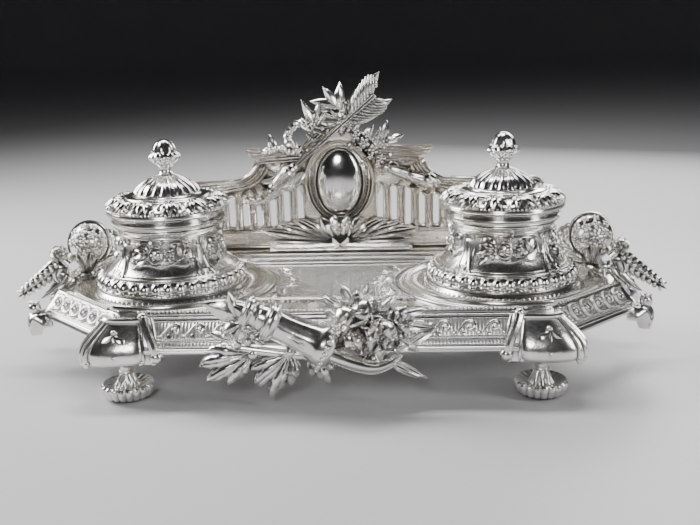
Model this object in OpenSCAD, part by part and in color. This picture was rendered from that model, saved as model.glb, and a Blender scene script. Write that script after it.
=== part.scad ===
// Desk inkstand: an eight-sided stand on four turned feet, two hinged inkwells that lift out of
// their sockets, a pierced back gallery with a trophy, and a cornucopia handle at each end.
// The wells' axes stand at y = 0, the surface that it stands on is z = 0, and its front faces -Y.

/* [Stand] */
// Half width of the deck, centre to side edge
deck_half_w = 142; // [138:0.5:150]
// Front edge of the deck, in front of the wells' axes
deck_front = 48.5; // [47:0.5:52]
// Rear edge of the deck, behind the wells' axes
deck_rear = 60.5; // [58:0.5:66]
// Length that each corner cut takes off both sides
corner_cut = 42.5; // [38:0.5:43]
// Height of the deck's top above the surface
deck_z = 40.5; // [38:0.5:44]
// Thickness of deck and frieze
wall = 2; // [1.5:0.1:2.4]
// How far the frieze slopes out from deck to lip at the sides
frieze_out = 7.4; // [6:0.2:9]
// Height of that frieze
frieze_h = 10; // [9:0.5:11.5]
// Thickness of the lip below the frieze
lip_h = 3.2; // [2.5:0.1:4]
// How far the lip stands proud of the frieze
lip_proud = 1.2; // [0.6:0.1:2]
// Radius of the rings on that frieze
frieze_ring_r = 4.4; // [3:0.1:4.6]
// How far the front and rear friezes slope out
front_out = 11; // [9:0.5:12]
// Height of the front and rear friezes
front_h = 14; // [12.5:0.5:15]
// Thickness of the front lip
front_lip_h = 1.8; // [1.2:0.1:3]

/* [Feet and blocks] */
// How far the feet stand inside the ends of the deck
foot_in = 45; // [43:0.5:50]
// Half distance between front and rear feet
foot_y = 56; // [52:0.5:58]
// Height of a foot
foot_h = 19.5; // [17:0.5:22]
// Widest radius of a foot
foot_r = 12.9; // [11:0.1:14]
// Width of a corner block at its bottom
block_w = 41; // [38:0.5:43]
// Width of a corner block at its top
block_top_w = 20; // [16:0.5:22]
// Thickness of a block's straight bottom rim
block_rim_h = 2.5; // [2:0.1:3]
// Radius of a foot's stud
stud_r = 2; // [1.5:0.1:2.3]
// Radius of the ball on a side block
ball_r = 3.3; // [2.8:0.1:3.8]

/* [Wells] */
// How far the wells' axes stand inside the ends of the deck
well_in = 58; // [56:0.5:59]
// Width of the sunk channel round a socket
channel_w = 4.3; // [3.5:0.1:5]
// Width of the reeded ring round a channel
reeds_w = 10.3; // [8:0.1:11]
// Height of the reeded ring above the deck
ring_h = 1.4; // [1:0.1:2]
// Depth of the well below the deck
well_depth = 5.5; // [4:0.5:7]
// Radius of the socket ring that carries an inkwell
socket_r = 38.2; // [37.5:0.1:39]
// Height of the socket ring above the deck
socket_rise = 3; // [2:0.1:4]

/* [Inkwells] */
// Radius of an inkwell's base
base_r = 37.3; // [36:0.1:37.4]
// Radius of its waist
waist_r = 24.6; // [24:0.1:26]
// Radius of its rim
rim_r = 28.2; // [27:0.1:29]
// Height of an inkwell's body
body_h = 32.7; // [31:0.1:36]
// Metal thickness of body and lid
shell = 1.7; // [1.4:0.1:2]
// Outer radius of the glass liner
liner_r = 20.5; // [18:0.1:21]
// Glass thickness
glass = 2.4; // [2:0.1:3]
// How far an inkwell lifts out
lift = 30; // [12:1:60]

/* [Lids] */
// Radius of a lid's straight band
band_r = 28.5; // [27.5:0.1:29]
// Height of a lid's straight band
band_h = 3.8; // [3:0.1:5]
// Radius of the leaf flange
flange_r = 30.6; // [30:0.1:31.5]
// Radius of the fluted dome
dome_r = 15.6; // [14:0.1:17]
// Height of a lid, band to finial seat
lid_h = 21.9; // [20:0.1:24]
// Height of the finial above the lid
finial_h = 17.9; // [15:0.1:20]
// Widest radius of the finial
finial_r = 8.2; // [7:0.1:9]
// How far a lid opens, in degrees
lid_open = 100; // [60:1:104]

/* [Hinges] */
// Radius of a hinge knuckle
knuckle_r = 2; // [1.7:0.1:2.2]
// Radius of a hinge pin
pin_r = 0.9; // [0.6:0.1:1.1]
// Length of a lid's middle knuckle
knuckle_l = 5; // [4:0.5:6]

/* [Gallery] */
// Thickness of the gallery's pierced panel
panel_t = 3; // [2:0.1:3.5]
// How far the gallery's end discs stand inside the ends of the deck
gallery_in = 35; // [32:0.5:42]
// Height of the gallery's rail above its foot
rail_z = 40; // [36:0.5:42]
// Width of an opening of the balustrade
slot_w = 4.6; // [3.5:0.1:5.2]
// Radius of an end disc
disc_r = 7.3; // [6:0.1:8]
// Half span of the broken pediment
pediment_half = 52.3; // [48:0.1:56]
// Radius of the arched hood
hood_r = 25; // [24:0.5:27]
// Half width of the cartouche's frame
frame_half_w = 19.6; // [18:0.1:21]
// Half height of the cartouche's frame
frame_half_h = 23.1; // [22:0.1:25]
// Width of the frame's moulding
frame_band = 6.6; // [5:0.1:8]

/* [Handles] */
// Radius of a horn's mouth
mouth_r = 12.5; // [11:0.1:13.5]
// How far a horn's mouth stands inside the end of the deck
mouth_in = 10; // [7:0.5:12]
// Distance of a horn's mouth behind the wells' axes
mouth_y = 16; // [15:0.5:20]
// Height of a horn's mouth above the deck
mouth_rise = 19.5; // [19:0.5:24]

/* [Hidden] */
$fn = 64;
SIDES = [-1, 1];
OCT = 2 - sqrt(2);      // how a 45 degree corner cut grows as its outline is offset by 1
thin = 0.01;            // thickness of the plates that a hull joins
seat_gap = 0.05;        // radial room of a spigot, stud or screw in its hole
rest_gap = 0.3;         // gap between a moving piece and what it rests on
over = 1;               // how far a cutting tool passes the surface it cuts

foot_x = deck_half_w - foot_in;
well_x = deck_half_w - well_in;
mouth_x = deck_half_w - mouth_in;
well_r = socket_r + channel_w;             // outside of the channel round a well
ring_r = well_r + reeds_w;                 // outside of the reeded ring round that
gallery_half = deck_half_w - gallery_in;
mid_y = (deck_rear - deck_front) / 2;      // middle of the stand, front to back
lip_top = deck_z - frieze_h;
lip_z = lip_top - lip_h;                   // underside of the side lip
front_lip_top = deck_z - front_h;
front_lip_z = front_lip_top - front_lip_h; // underside of the front and rear lips
side_y = deck_front - corner_cut;          // the side corners stand this far in front of y = 0

well_floor = deck_z - well_depth;
socket_top = deck_z + socket_rise;
ring_top = deck_z + ring_h;
socket_wall = 3.8;
spigot_h = 4.3;
spigot_wall = 2.2;
spigot_r = socket_r - socket_wall - 0.2;   // outside of the inkwell's spigot, inside the socket ring

body_top = socket_top + body_h;
bead_top = socket_top + 7.8;               // top of the row of eggs round an inkwell's foot
lid_z = body_top + rest_gap;
lid_top = lid_z + lid_h;
hinge_y = band_r + knuckle_r + 0.7;
hinge_z = lid_z;

step_rise = 1.5;
step_tread = 4;
step_y = 39;                                // front edge of the lowest rear step
step_half_w = deck_half_w - corner_cut - 1.5;
step_count = 3;
top_step_z = deck_z + step_count * step_rise;
foot_flange_t = 1.5;
gallery_z = top_step_z + foot_flange_t;     // the balustrade's plinth starts here
panel_rear = deck_rear - 1;
panel_front = panel_rear - panel_t;
rail_top = top_step_z + rail_z;
disc_z = rail_top - disc_r + 0.4;
cart_z = rail_top - 0.7;                    // middle of the cartouche
hood_z = rail_top + 4.8;                    // middle of the arched hood
pediment_z = rail_top + 15.6;                // underside of the cornice
slot_bottom = top_step_z + 13.5;
rail_h = 6.2;
shaft_y = panel_front - 5.4;                // the trophy's arrow runs in front of the cartouche

// ---------- outlines ----------

// The stand's eight corners, offset outwards by g.
function octagon(g) = let (w = deck_half_w + g, f = -deck_front - g, b = deck_rear + g,
                           c = corner_cut + OCT * g)
    [[w - c, f], [w, f + c], [w, b - c], [w - c, b], [c - w, b], [-w, b - c], [-w, f + c], [c - w, f]];

// Points on a cubic curve from a to d.
function curve(a, b, c, d, n) = [for (i = [0:n]) let (t = i / n, u = 1 - t)
    u * u * u * a + 3 * u * u * t * b + 3 * u * t * t * c + t * t * t * d];

// Points on an arc of radius r about c, from angle a0 to a1.
function arc(c, r, a0, a1, n) = [for (i = [0:n]) let (a = a0 + (a1 - a0) * i / n)
    [c[0] + r * cos(a), c[1] + r * sin(a)]];

// A pointed leaf of length l and width w along +X.
function leaf(l, w) = concat(
    [for (i = [0:6]) let (t = i / 6) [l * t, w / 2 * pow(sin(180 * pow(t, 0.8)), 0.9)]],
    [for (i = [5:-1:1]) let (t = i / 6) [l * t, -w / 2 * pow(sin(180 * pow(t, 0.8)), 0.9)]]);

// An oval with half axes a and b.
function oval(a, b) = [for (i = [0:47]) [a * cos(i * 7.5), b * sin(i * 7.5)]];

// ---------- helpers ----------

// An upright plate seen from the front: the outline's y is its height, and it lies from y0 to y1.
module upright(y0, y1) {
    translate([0, y1, 0]) rotate([90, 0, 0]) linear_extrude(y1 - y0) children();
}

// A solid between two offsets of the stand's outline.
module frustum(z0, g0, z1, g1) {
    hull() {
        translate([0, 0, z0]) linear_extrude(thin) polygon(octagon(g0));
        translate([0, 0, z1 - thin]) linear_extrude(thin) polygon(octagon(g1));
    }
}

// A bar along X over the front edge and another over the rear edge: the outline is [distance out, height].
module front_and_rear(half) {
    for (edge = [[-1, deck_front], [1, deck_rear]]) translate([-half, edge[0] * edge[1], 0])
        mirror([0, edge[0] > 0 ? 0 : 1, 0]) rotate([90, 0, 90]) linear_extrude(2 * half) children();
}

// The stand's outside, as one filled solid.
module stand_outside() {
    out = front_out + lip_proud;
    frustum(lip_top, frieze_out, deck_z, 0);
    translate([0, 0, lip_z]) linear_extrude(lip_h) polygon(octagon(frieze_out + lip_proud));
    front_and_rear(front_half) polygon([[-2 * wall, deck_z - 0.5], [0, deck_z - 0.5],
        [front_out, front_lip_top], [out, front_lip_top], [out, front_lip_z], [-2 * wall, front_lip_z]]);
}

// The hollow under the deck.
module stand_hollow() {
    frustum(lip_top - thin, frieze_out - wall, deck_z - wall, -wall);
    translate([0, 0, lip_z - over]) linear_extrude(lip_h + over) polygon(octagon(frieze_out - wall));
    translate([0, 0, front_lip_z - over]) linear_extrude(lip_z - front_lip_z + over)
        polygon(octagon(frieze_out - wall));
    front_and_rear(front_half - wall) polygon([[-5 * wall, deck_z - wall], [-wall, deck_z - wall],
        [front_out - wall, front_lip_top], [front_out - wall, front_lip_z - over],
        [-5 * wall, front_lip_z - over]]);
}

module at_feet() {
    for (sx = SIDES, sy = SIDES) translate([sx * foot_x, mid_y + sy * foot_y, 0]) children();
}

module at_wells() {
    for (side = SIDES) translate([side * well_x, 0, 0]) children();
}

front_half = foot_x;                        // the front and rear friezes end inside the corner blocks
gallery_screw_x = [30, step_half_w - 3];
gallery_screw_y = panel_front - 3;
horn_foot = [mouth_x + 3, 6];
screw_r = 1.5;
front_stud_x = [-22, 22];
front_stud_z = front_lip_top + 5.5;

canted = [0, 2, 4, 6];                      // sides of the stand's outline that cut its corners
ends = [1, 5];

// Places a thing near the middle of the slope below each of these sides, x along it, with z out of it.
module on_slopes(sides, x) {
    corners = octagon(0);
    middle = 0.46 * norm([frieze_h, frieze_out]);
    for (i = sides) let (a = corners[i], b = corners[(i + 1) % 8], d = b - a)
        translate([(a[0] + b[0]) / 2, (a[1] + b[1]) / 2, deck_z]) rotate(atan2(d[1], d[0]))
            rotate([atan2(frieze_h, frieze_out), 0, 0]) translate([x, -middle, 0]) children();
}

// A bossed ring of the friezes.
module frieze_ring() {
    translate([0, 0, -wall / 2]) {
        cylinder(r = frieze_ring_r, h = wall / 2 + 0.6);
        cylinder(r = 0.44 * frieze_ring_r, h = wall / 2 + 1.1);
    }
}

// ---------- stand ----------

module tray() {
    post_r = 5;
    pitch = 2 * frieze_ring_r + 0.3;
    color([0.78, 0.77, 0.74]) difference() {
        union() {
            stand_outside();
            for (i = [-1.5, -0.5, 0.5, 1.5]) on_slopes(canted, i * pitch) frieze_ring();
            for (i = [-0.5, 0.5]) on_slopes(ends, i * pitch) frieze_ring();
        }
        difference() {
            stand_hollow();
            at_feet() cylinder(r = post_r, h = deck_z - wall);
        }
        at_wells() translate([0, 0, deck_z - 2 * wall]) cylinder(r = well_r + seat_gap, h = 3 * wall);
        at_feet() cylinder(r = stud_r + seat_gap, h = deck_z - 5 * wall);
        for (side = SIDES, x = gallery_screw_x)
            translate([side * x, gallery_screw_y, deck_z - 2 * wall])
                cylinder(r = screw_r + seat_gap, h = 3 * wall);
        for (side = SIDES)
            translate([side * horn_foot[0], horn_foot[1], deck_z - 2 * wall])
                cylinder(r = screw_r + seat_gap, h = 3 * wall);
        for (x = front_stud_x)
            translate([x, -deck_front, front_stud_z]) rotate([90, 0, 0])
                translate([0, 0, -3 * wall]) cylinder(r = screw_r + seat_gap, h = 9 * wall);
    }
}

panel_h = 0.8;
panel_front_y = 31;

module centre_panel() {
    color([0.82, 0.81, 0.78]) difference() {
        translate([-well_x + 20, -panel_front_y, deck_z])
            cube([2 * well_x - 40, panel_front_y + step_y - 1, panel_h]);
        at_wells() translate([0, 0, deck_z - over]) cylinder(r = ring_r + 1, h = panel_h + 2 * over);
    }
}

module rear_steps() {
    color([0.7, 0.69, 0.66]) difference() {
        for (i = [0:step_count - 1])
            translate([-step_half_w, step_y + i * step_tread, deck_z + i * step_rise])
                cube([2 * step_half_w, deck_rear - step_y - i * step_tread, step_rise]);
        at_wells() translate([0, 0, deck_z - over])
            cylinder(r = ring_r + 0.5, h = step_count * step_rise + 2 * over);
        for (side = SIDES, x = gallery_screw_x)
            translate([side * x, gallery_screw_y, deck_z - over])
                cylinder(r = screw_r + seat_gap, h = step_count * step_rise + 2 * over);
    }
}

floor_t = 1.5;                              // thickness of the channel's floor
channel_wall = 1.3;                         // thickness of its outer wall

// Keeps what stands round a well on the deck.
module within_deck() {
    intersection() {
        children();
        translate([0, 0, well_floor - 2 * floor_t]) linear_extrude(socket_top) polygon(octagon(-0.8));
    }
}

// The sunk channel round an inkwell, with the socket ring that its spigot drops over.
module well(side) {
    color([0.72, 0.71, 0.69]) within_deck() translate([side * well_x, 0, 0]) rotate_extrude() polygon([
        [spigot_r + 0.2, well_floor - floor_t], [well_r, well_floor - floor_t], [well_r, deck_z],
        [well_r - channel_wall, deck_z], [well_r - channel_wall, well_floor],
        [socket_r, well_floor], [socket_r, socket_top], [spigot_r + 0.2, socket_top]]);
}

// The reeded ring that lies on the deck round the channel.
module well_ring(side) {
    reeds = 4;
    reed_w = (ring_r - well_r) / reeds;
    reed_tops = [for (i = [reeds - 1:-1:0], a = [0:30:180])
        [well_r + (i + 0.5 + cos(a) / 2) * reed_w, deck_z + (1 + sin(a)) * ring_h / 2]];
    color([0.74, 0.73, 0.71]) difference() {
        within_deck() translate([side * well_x, 0, 0]) rotate_extrude() polygon(concat(
            [[well_r - channel_wall, deck_z], [ring_r, deck_z]], reed_tops,
            [[well_r - channel_wall, deck_z + ring_h / 2]]));
        translate([side * horn_foot[0], horn_foot[1], deck_z - over])
            cylinder(r = screw_r + seat_gap, h = ring_h + 2 * over);
    }
}

// ---------- blocks and feet ----------

// Plan of a corner block about its foot: wide, with a pointed front; s is its scale.
function block_plan(w, point) = [[-w / 2, w / 4], [-w / 2, -w / 10], [-w / 12, -point],
    [w / 12, -point], [w / 2, -w / 10], [w / 2, w / 4]];

module corner_block(sx, sy) {
    point = block_w * 0.29;
    top_point = 4.6;
    color([0.8, 0.79, 0.76]) difference() {
        translate([sx * foot_x, mid_y + sy * foot_y, 0]) mirror([0, sy > 0 ? 1 : 0, 0]) union() {
            translate([0, 0, foot_h]) linear_extrude(block_rim_h) polygon(block_plan(block_w, point));
            hull() {
                translate([0, 0, foot_h + block_rim_h - thin])
                    linear_extrude(thin) polygon(block_plan(block_w - 2, point - 1));
                translate([0, 0, deck_z - 1]) linear_extrude(thin) polygon(block_plan(block_top_w, top_point));
            }
        }
        stand_outside();
        translate([0, 0, front_lip_z]) linear_extrude(deck_z) polygon(octagon(frieze_out - wall));
        translate([sx * foot_x, mid_y + sy * foot_y, 0]) cylinder(r = stud_r + seat_gap, h = deck_z);
    }
}

side_block_x = deck_half_w + 11;            // the side blocks' scrolls stand this far out

// Outline of a side block's scroll: out from the lip, down and back in.
function scroll_outline(h) = concat(
    curve([-7, h], [1, h + 1], [4, h - 2], [4.4, h - 6], 6),
    curve([4.2, h - 7], [2.6, h - 9], [5, h - 12], [3.6, 0], 6), [[-1, 0], [-2.5, h - 7], [-7, h - 7]]);

module side_block(sx, sy) {
    width = 9;
    block_h = 30 - foot_h;
    corner = [side_block_x, sy * (mid_y + side_y) + mid_y + sy * 4.5];
    color([0.74, 0.73, 0.7]) difference() {
        translate([sx * corner[0], corner[1], foot_h]) mirror([sx < 0 ? 1 : 0, 0, 0])
            rotate([0, 0, sy * 22.5]) {
                rotate([90, 0, 0]) translate([0, 0, -width / 2])
                    linear_extrude(width) polygon(scroll_outline(block_h));
                translate([1, 0, block_h + ball_r * 0.8]) sphere(r = ball_r);
            }
        stand_outside();
    }
}

// A turned foot: lobed rim, dome, knop, thin neck and a cone collar under the block.
module turned_foot(sx, sy) {
    color([0.8, 0.79, 0.77]) translate([sx * foot_x, mid_y + sy * foot_y, 0]) difference() {
        rotate_extrude() polygon(concat(
            [[0, 0], [foot_r * 0.74, 0]],
            curve([foot_r * 0.8, 0.2], [foot_r * 1.03, 0.8], [foot_r * 1.06, 4.6], [foot_r * 0.86, 5.8], 8),
            curve([foot_r * 0.78, 6.2], [foot_r * 0.5, 8.6], [4.2, 7.6], [4, 10], 6),
            arc([3.2, 11.2], 1.6, -50, 50, 4),
            [[3.3, 13], [3, 14.6], [3.4, foot_h - 3.4], [6.2, foot_h - 1.2], [6.2, foot_h], [0, foot_h]]));
        translate([0, 0, foot_h / 2 + 1]) cylinder(r = stud_r + seat_gap, h = foot_h);
    }
}

module foot_studs() {
    color([0.55, 0.55, 0.55]) at_feet() translate([0, 0, foot_h / 2 + 1])
        cylinder(r = stud_r, h = deck_z - 5 * wall - foot_h / 2 - 1 - rest_gap);
}

// ---------- gallery ----------

slot_count = 10;
slot_first = 22.5;
slot_pitch = (gallery_half - slot_first - 14.3) / (slot_count - 1);
spandrel_x = 43;
cornice_x = frame_half_w + 0.4;             // inner end of the cornice, beside the cartouche

// Top of the openings at x: they follow the rail, and rise beside the cartouche.
function slot_top(x) = x < spandrel_x ? rail_top - 1.6 - (x - slot_first) * 0.18 : rail_top - rail_h - 1.6;

module slot(x) {
    r = slot_w / 2;
    translate([x - r, slot_bottom + r]) square([slot_w, slot_top(x) - slot_bottom - 2 * r]);
    translate([x, slot_bottom + r]) circle(r);
    translate([x, slot_top(x) - r]) circle(r);
}

// Outline of the right half of the pediment, between the hood and the concave rail.
function spandrel() = concat([[0, rail_top - 8], [62, rail_top - 8], [62, rail_top + 0.6]],
    arc([62, rail_top + 16], 15.4, 270, 195, 8), [[0, rail_top + 14]]);

function cornice() = [[cornice_x, pediment_z - 5], [pediment_half - 9, pediment_z - 5],
    [pediment_half - 8, pediment_z - 2.4], [pediment_half - 4.5, pediment_z - 1.2],
    [pediment_half, pediment_z + 1.6], [pediment_half - 1, pediment_z + 2.6],
    [pediment_half - 8, pediment_z + 2], [cornice_x, pediment_z + 3.4]];

// The concave rail, from the pediment out to the end disc.
function rail() = concat([[gallery_half - 4, rail_top - rail_h - 0.6], [gallery_half - 4, rail_top - 1]],
    [[72, rail_top]], arc([60, rail_top + 16], 15.6, 275, 200, 8),
    arc([58, rail_top + 16], 20.6, 205, 265, 8), [[64, rail_top - rail_h]]);

rail_proud = 1.1;                           // how far the rail stands out of the panel
cornice_proud = 2.2;

module half_gallery() {
    upright(panel_front, panel_rear) difference() {
        union() {
            translate([0, gallery_z]) square([gallery_half - 6, rail_top - rail_h / 2 - gallery_z]);
            polygon(spandrel());
        }
        for (i = [0:slot_count - 1]) slot(slot_first + i * slot_pitch);
    }
    upright(panel_front - rail_proud, panel_rear + rail_proud) polygon(rail());
    upright(panel_front - cornice_proud, panel_rear + cornice_proud) polygon(cornice());
    upright(panel_front - rail_proud, panel_rear)
        translate([0, slot_bottom - 3]) square([gallery_half - 6, 2]);
}

module gallery() {
    flange_front = panel_front - 5.5;
    screw_boss_r = 3;
    screw_boss_h = 3.5;
    color([0.8, 0.79, 0.75]) difference() {
        union() {
            half_gallery();
            mirror([1, 0, 0]) half_gallery();
            upright(panel_front, panel_rear) translate([0, hood_z]) circle(hood_r);
            translate([-step_half_w, flange_front, top_step_z])
                cube([2 * step_half_w, deck_rear - flange_front, foot_flange_t]);
            for (side = SIDES) translate([side * gallery_screw_x[1], gallery_screw_y, top_step_z])
                cylinder(r = screw_boss_r, h = foot_flange_t + screw_boss_h);
        }
        for (side = SIDES, x = gallery_screw_x)
            translate([side * x, gallery_screw_y, top_step_z - over])
                cylinder(r = screw_r + seat_gap, h = over + foot_flange_t + 2);
    }
}

module gallery_end(side) {
    ring_w = 1.8;
    color([0.78, 0.77, 0.74]) mirror([side < 0 ? 1 : 0, 0, 0]) difference() {
        translate([gallery_half, 0, 0]) {
            translate([0, panel_rear + 1.2, disc_z]) rotate([90, 0, 0]) rotate_extrude() polygon([
                [0, 0], [disc_r, 0], [disc_r, panel_t + 2.2], [disc_r - ring_w, panel_t + 2.2],
                [disc_r - ring_w, panel_t + 1.4], [ring_w, panel_t + 1.4], [ring_w, panel_t + 2.4],
                [0, panel_t + 2.4]]);
            upright(panel_front, panel_rear) polygon(concat([[-5.8, gallery_z]],
                curve([4, gallery_z], [-5, gallery_z + 8], [6, gallery_z + 14], [5, disc_z - 3], 8),
                [[-5.8, disc_z - 3]]));
        }
        translate([0, panel_front - over, gallery_z - over])
            cube([gallery_half - 6, panel_t + 2 * over, rail_top - rail_h / 2 - gallery_z + over]);
        upright(panel_front - rail_proud, panel_rear + rail_proud) polygon(rail());
    }
}

module gallery_screws() {
    head_r = 2.6;
    head_h = 2;
    color([0.5, 0.5, 0.5]) for (side = SIDES, x = gallery_screw_x)
        translate([side * x, gallery_screw_y, 0]) {
            translate([0, 0, deck_z - wall - head_h]) cylinder(r = head_r, h = head_h);
            translate([0, 0, deck_z - wall - thin])
                cylinder(r = screw_r, h = wall + thin + step_count * step_rise + foot_flange_t + 1.5);
        }
}

// ---------- cartouche ----------

frame_depth = 4;                            // how far the cartouche's frame stands out of the panel

module cartouche_frame() {
    color([0.76, 0.75, 0.72]) translate([0, 0, cart_z]) {
        upright(panel_front - frame_depth, panel_front) difference() {
            polygon(oval(frame_half_w, frame_half_h));
            polygon(oval(frame_half_w - frame_band + 1.8, frame_half_h - frame_band + 3.6));
        }
        upright(panel_front - frame_depth / 2, panel_front) difference() {
            polygon(oval(frame_half_w - 1, frame_half_h - 1));
            polygon(oval(frame_half_w - frame_band, frame_half_h - frame_band + 2.8));
        }
    }
}

module cartouche_boss() {
    bulge = 5.5;
    a = frame_half_w - frame_band - 0.1;
    b = frame_half_h - frame_band + 2.7;
    color([0.85, 0.84, 0.82]) difference() {
        translate([0, panel_front, cart_z]) scale([a, bulge, b]) sphere(r = 1, $fn = 40);
        translate([-2 * a, panel_front, cart_z - 2 * b]) cube([4 * a, 4 * bulge, 4 * b]);
    }
}

// ---------- trophy ----------

// Moves a shape drawn along +X to run from the point p, at an angle a, in the gallery's plane.
module laid(p, a) {
    translate([p[0], 0, p[1]]) rotate([0, -a, 0]) children();
}

arrow_tail = [-32, 3];                      // lower end of the arrow, from the cartouche's middle
arrow_angle = 40.5;
arrow_l = 50;
shaft_r = 1.2;

module arrow() {
    vane_l = 30;
    vane_w = 8;
    vane_t = 2;
    peg_at = 20;
    color([0.84, 0.83, 0.8]) difference() {
        laid([arrow_tail[0], cart_z + arrow_tail[1]], arrow_angle) {
            translate([12, shaft_y, 0]) rotate([0, 90, 0]) cylinder(r = shaft_r, h = arrow_l, $fn = 24);
            for (s = SIDES) upright(shaft_y - vane_t / 2, shaft_y + vane_t / 2)
                polygon([[arrow_l - 4, 0], [arrow_l + 4, s * vane_w * 0.9], [arrow_l + vane_l, s * vane_w],
                    [arrow_l + vane_l * 0.72, 0]]);
            translate([peg_at, shaft_y, 0]) rotate([-90, 0, 0]) cylinder(r = 1, h = 20, $fn = 24);
        }
        panel_envelope();
    }
}

module torch() {
    color([0.8, 0.79, 0.76]) difference() {
        laid([arrow_tail[0], cart_z + arrow_tail[1]], arrow_angle)
            translate([-8, shaft_y, 0]) rotate([0, 90, 0]) rotate_extrude($fn = 40) polygon([
                [0, 0], [1.4, 0], [2.2, 3], [3.4, 9], [4.4, 12], [4.6, 14], [3.6, 15.2], [2.6, 17],
                [2.2, 19.6], [0, 19.6]]);
        panel_envelope();
    }
}

// All that the cartouche, the mouldings and the panel itself fill: the trophy's pieces stop short of it.
module panel_envelope() {
    for (side = SIDES) mirror([side < 0 ? 1 : 0, 0, 0]) {
        upright(panel_front - cornice_proud, panel_rear) polygon(cornice());
        upright(panel_front - rail_proud, panel_rear) polygon(rail());
    }
    translate([0, 0, cart_z]) upright(panel_front - frame_depth, panel_rear)
        polygon(oval(frame_half_w + seat_gap, frame_half_h + seat_gap));
    translate([-2 * pediment_half, panel_front, 0]) cube([4 * pediment_half, 10 * panel_t, 2 * rail_top]);
}

// Leaves of one width in the gallery's plane, each given as [x, height, direction, length].
module leaf_fan(leaves, w, back = 1) {
    for (f = leaves) translate([f[0], f[1]]) rotate(f[2]) translate([-back, 0]) polygon(leaf(f[3] + back, w));
}

// A wavy ribbon left of the hood, as straight folds between these points.
ribbon_points = [[-18, 30.5], [-23.4, 33.6], [-28.6, 27.2], [-26, 17], [-35, 17.5], [-38, 26]];

module ribbon() {
    fold_w = 5;
    ribbon_t = 3;
    color([0.82, 0.81, 0.78]) difference() {
        translate([0, 0, cart_z]) upright(panel_front - ribbon_t, panel_front)
            for (i = [1:len(ribbon_points) - 1])
                let (p = ribbon_points[i - 1], d = ribbon_points[i] - p) translate(p) rotate(atan2(d[1], d[0])) {
                    translate([0, -fold_w / 2]) square([norm(d), fold_w]);
                    if (i > 1) circle(r = fold_w / 2, $fn = 16);
                }
        panel_envelope();
    }
}

// The laurel branch over the hood: place, direction and length of each leaf.
laurel_leaves = [[1, 40.7, 84, 15], [0, 41.7, 125, 14], [-1, 42, 168, 15], [4, 34.4, 74, 11], [6, 32, 60, 12],
    [-13.6, 32, 110, 16], [-12, 31.5, 51, 11], [2, 36, 140, 9]];
laurel_stems = [[2, 26, 93, 18], [7, 32, 179, 22]];

module laurel() {
    leaf_w = 6.4;
    leaf_t = 1.9;
    stem_w = 2.6;
    color([0.83, 0.82, 0.79]) difference() {
        translate([0, 0, cart_z]) {
            upright(panel_front - leaf_t, panel_front - 0.3) leaf_fan(laurel_leaves, leaf_w, 3);
            upright(panel_front - leaf_t + 0.3, panel_front) for (f = laurel_stems) translate([f[0], f[1]])
                rotate(f[2]) translate([0, -stem_w / 2]) square([f[3], stem_w]);
        }
        panel_envelope();
    }
}

// Flowers right of the hood: place and radius of each.
gallery_blooms = [[9.6, 25.4, 3.2], [14.4, 21.6, 3.4], [19.2, 17.6, 3.4], [23.2, 12.6, 3.2], [24.4, 20.4, 3.2]];
gallery_sprigs = [[24.3, 22, 72, 12.5], [25, 21.8, 15, 12.5], [13.6, 24.6, 42, 9]];

module gallery_flowers() {
    petal_t = 3.4;
    sprig_t = 2;
    color([0.82, 0.81, 0.78]) difference() {
        translate([0, 0, cart_z]) {
            for (b = gallery_blooms) translate([b[0], panel_front - petal_t, b[1]]) {
                sphere(r = b[2] * 0.7, $fn = 40);
                rotate([-90, 0, 0]) cylinder(r = b[2], h = petal_t);
            }
            upright(panel_front - sprig_t, panel_front) leaf_fan(gallery_sprigs, 4.6, 2);
        }
        panel_envelope();
    }
}

// The small quiver that hangs right of the cartouche.
module gallery_quiver() {
    at = [25, 8];
    angle = -19;
    length = 29;
    color([0.8, 0.79, 0.76]) difference() {
        laid([at[0], cart_z + at[1]], angle)
            translate([0, panel_front - 1.6, 0]) rotate([0, 90, 0]) rotate_extrude($fn = 40) polygon([
                [0, 0], [2.2, 0], [2.6, 4], [3.4, length * 0.5], [4.6, length - 7], [4, length - 6],
                [5, length - 3], [4.4, length], [0, length]]);
        panel_envelope();
    }
}

// ---------- palms ----------

bar_half = 40;
bar_h = 2.6;
tie_r = 3.4;
bar_front = panel_front - 5.3;

module palm_bar() {
    bar_depth = 4.6;
    color([0.78, 0.77, 0.74]) difference() {
        union() {
            translate([-bar_half, bar_front, gallery_z]) cube([2 * bar_half, bar_depth, bar_h]);
            translate([0, bar_front + 0.4, gallery_z + bar_h]) sphere(r = tie_r, $fn = 40);
        }
        translate([-tie_r - over, bar_front - 2 * tie_r, gallery_z - 2 * tie_r])
            cube([2 * (tie_r + over), 2 * tie_r + bar_depth, 2 * tie_r]);
        for (side = SIDES) translate([side * gallery_screw_x[0], gallery_screw_y, gallery_z - over])
            cylinder(r = screw_r + seat_gap, h = over + 2);
        translate([-bar_half, bar_front + bar_depth, gallery_z]) cube([2 * bar_half, panel_t, 3 * bar_h]);
    }
}

// A frond's leaves: place, direction and length.
palm_leaves = [[5, 0, 76, 12], [7, 0, 58, 15], [9, 0, 42, 20], [11, 0, 28, 27], [13, 0, 15, 34], [14, 0, 5, 30]];

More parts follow.
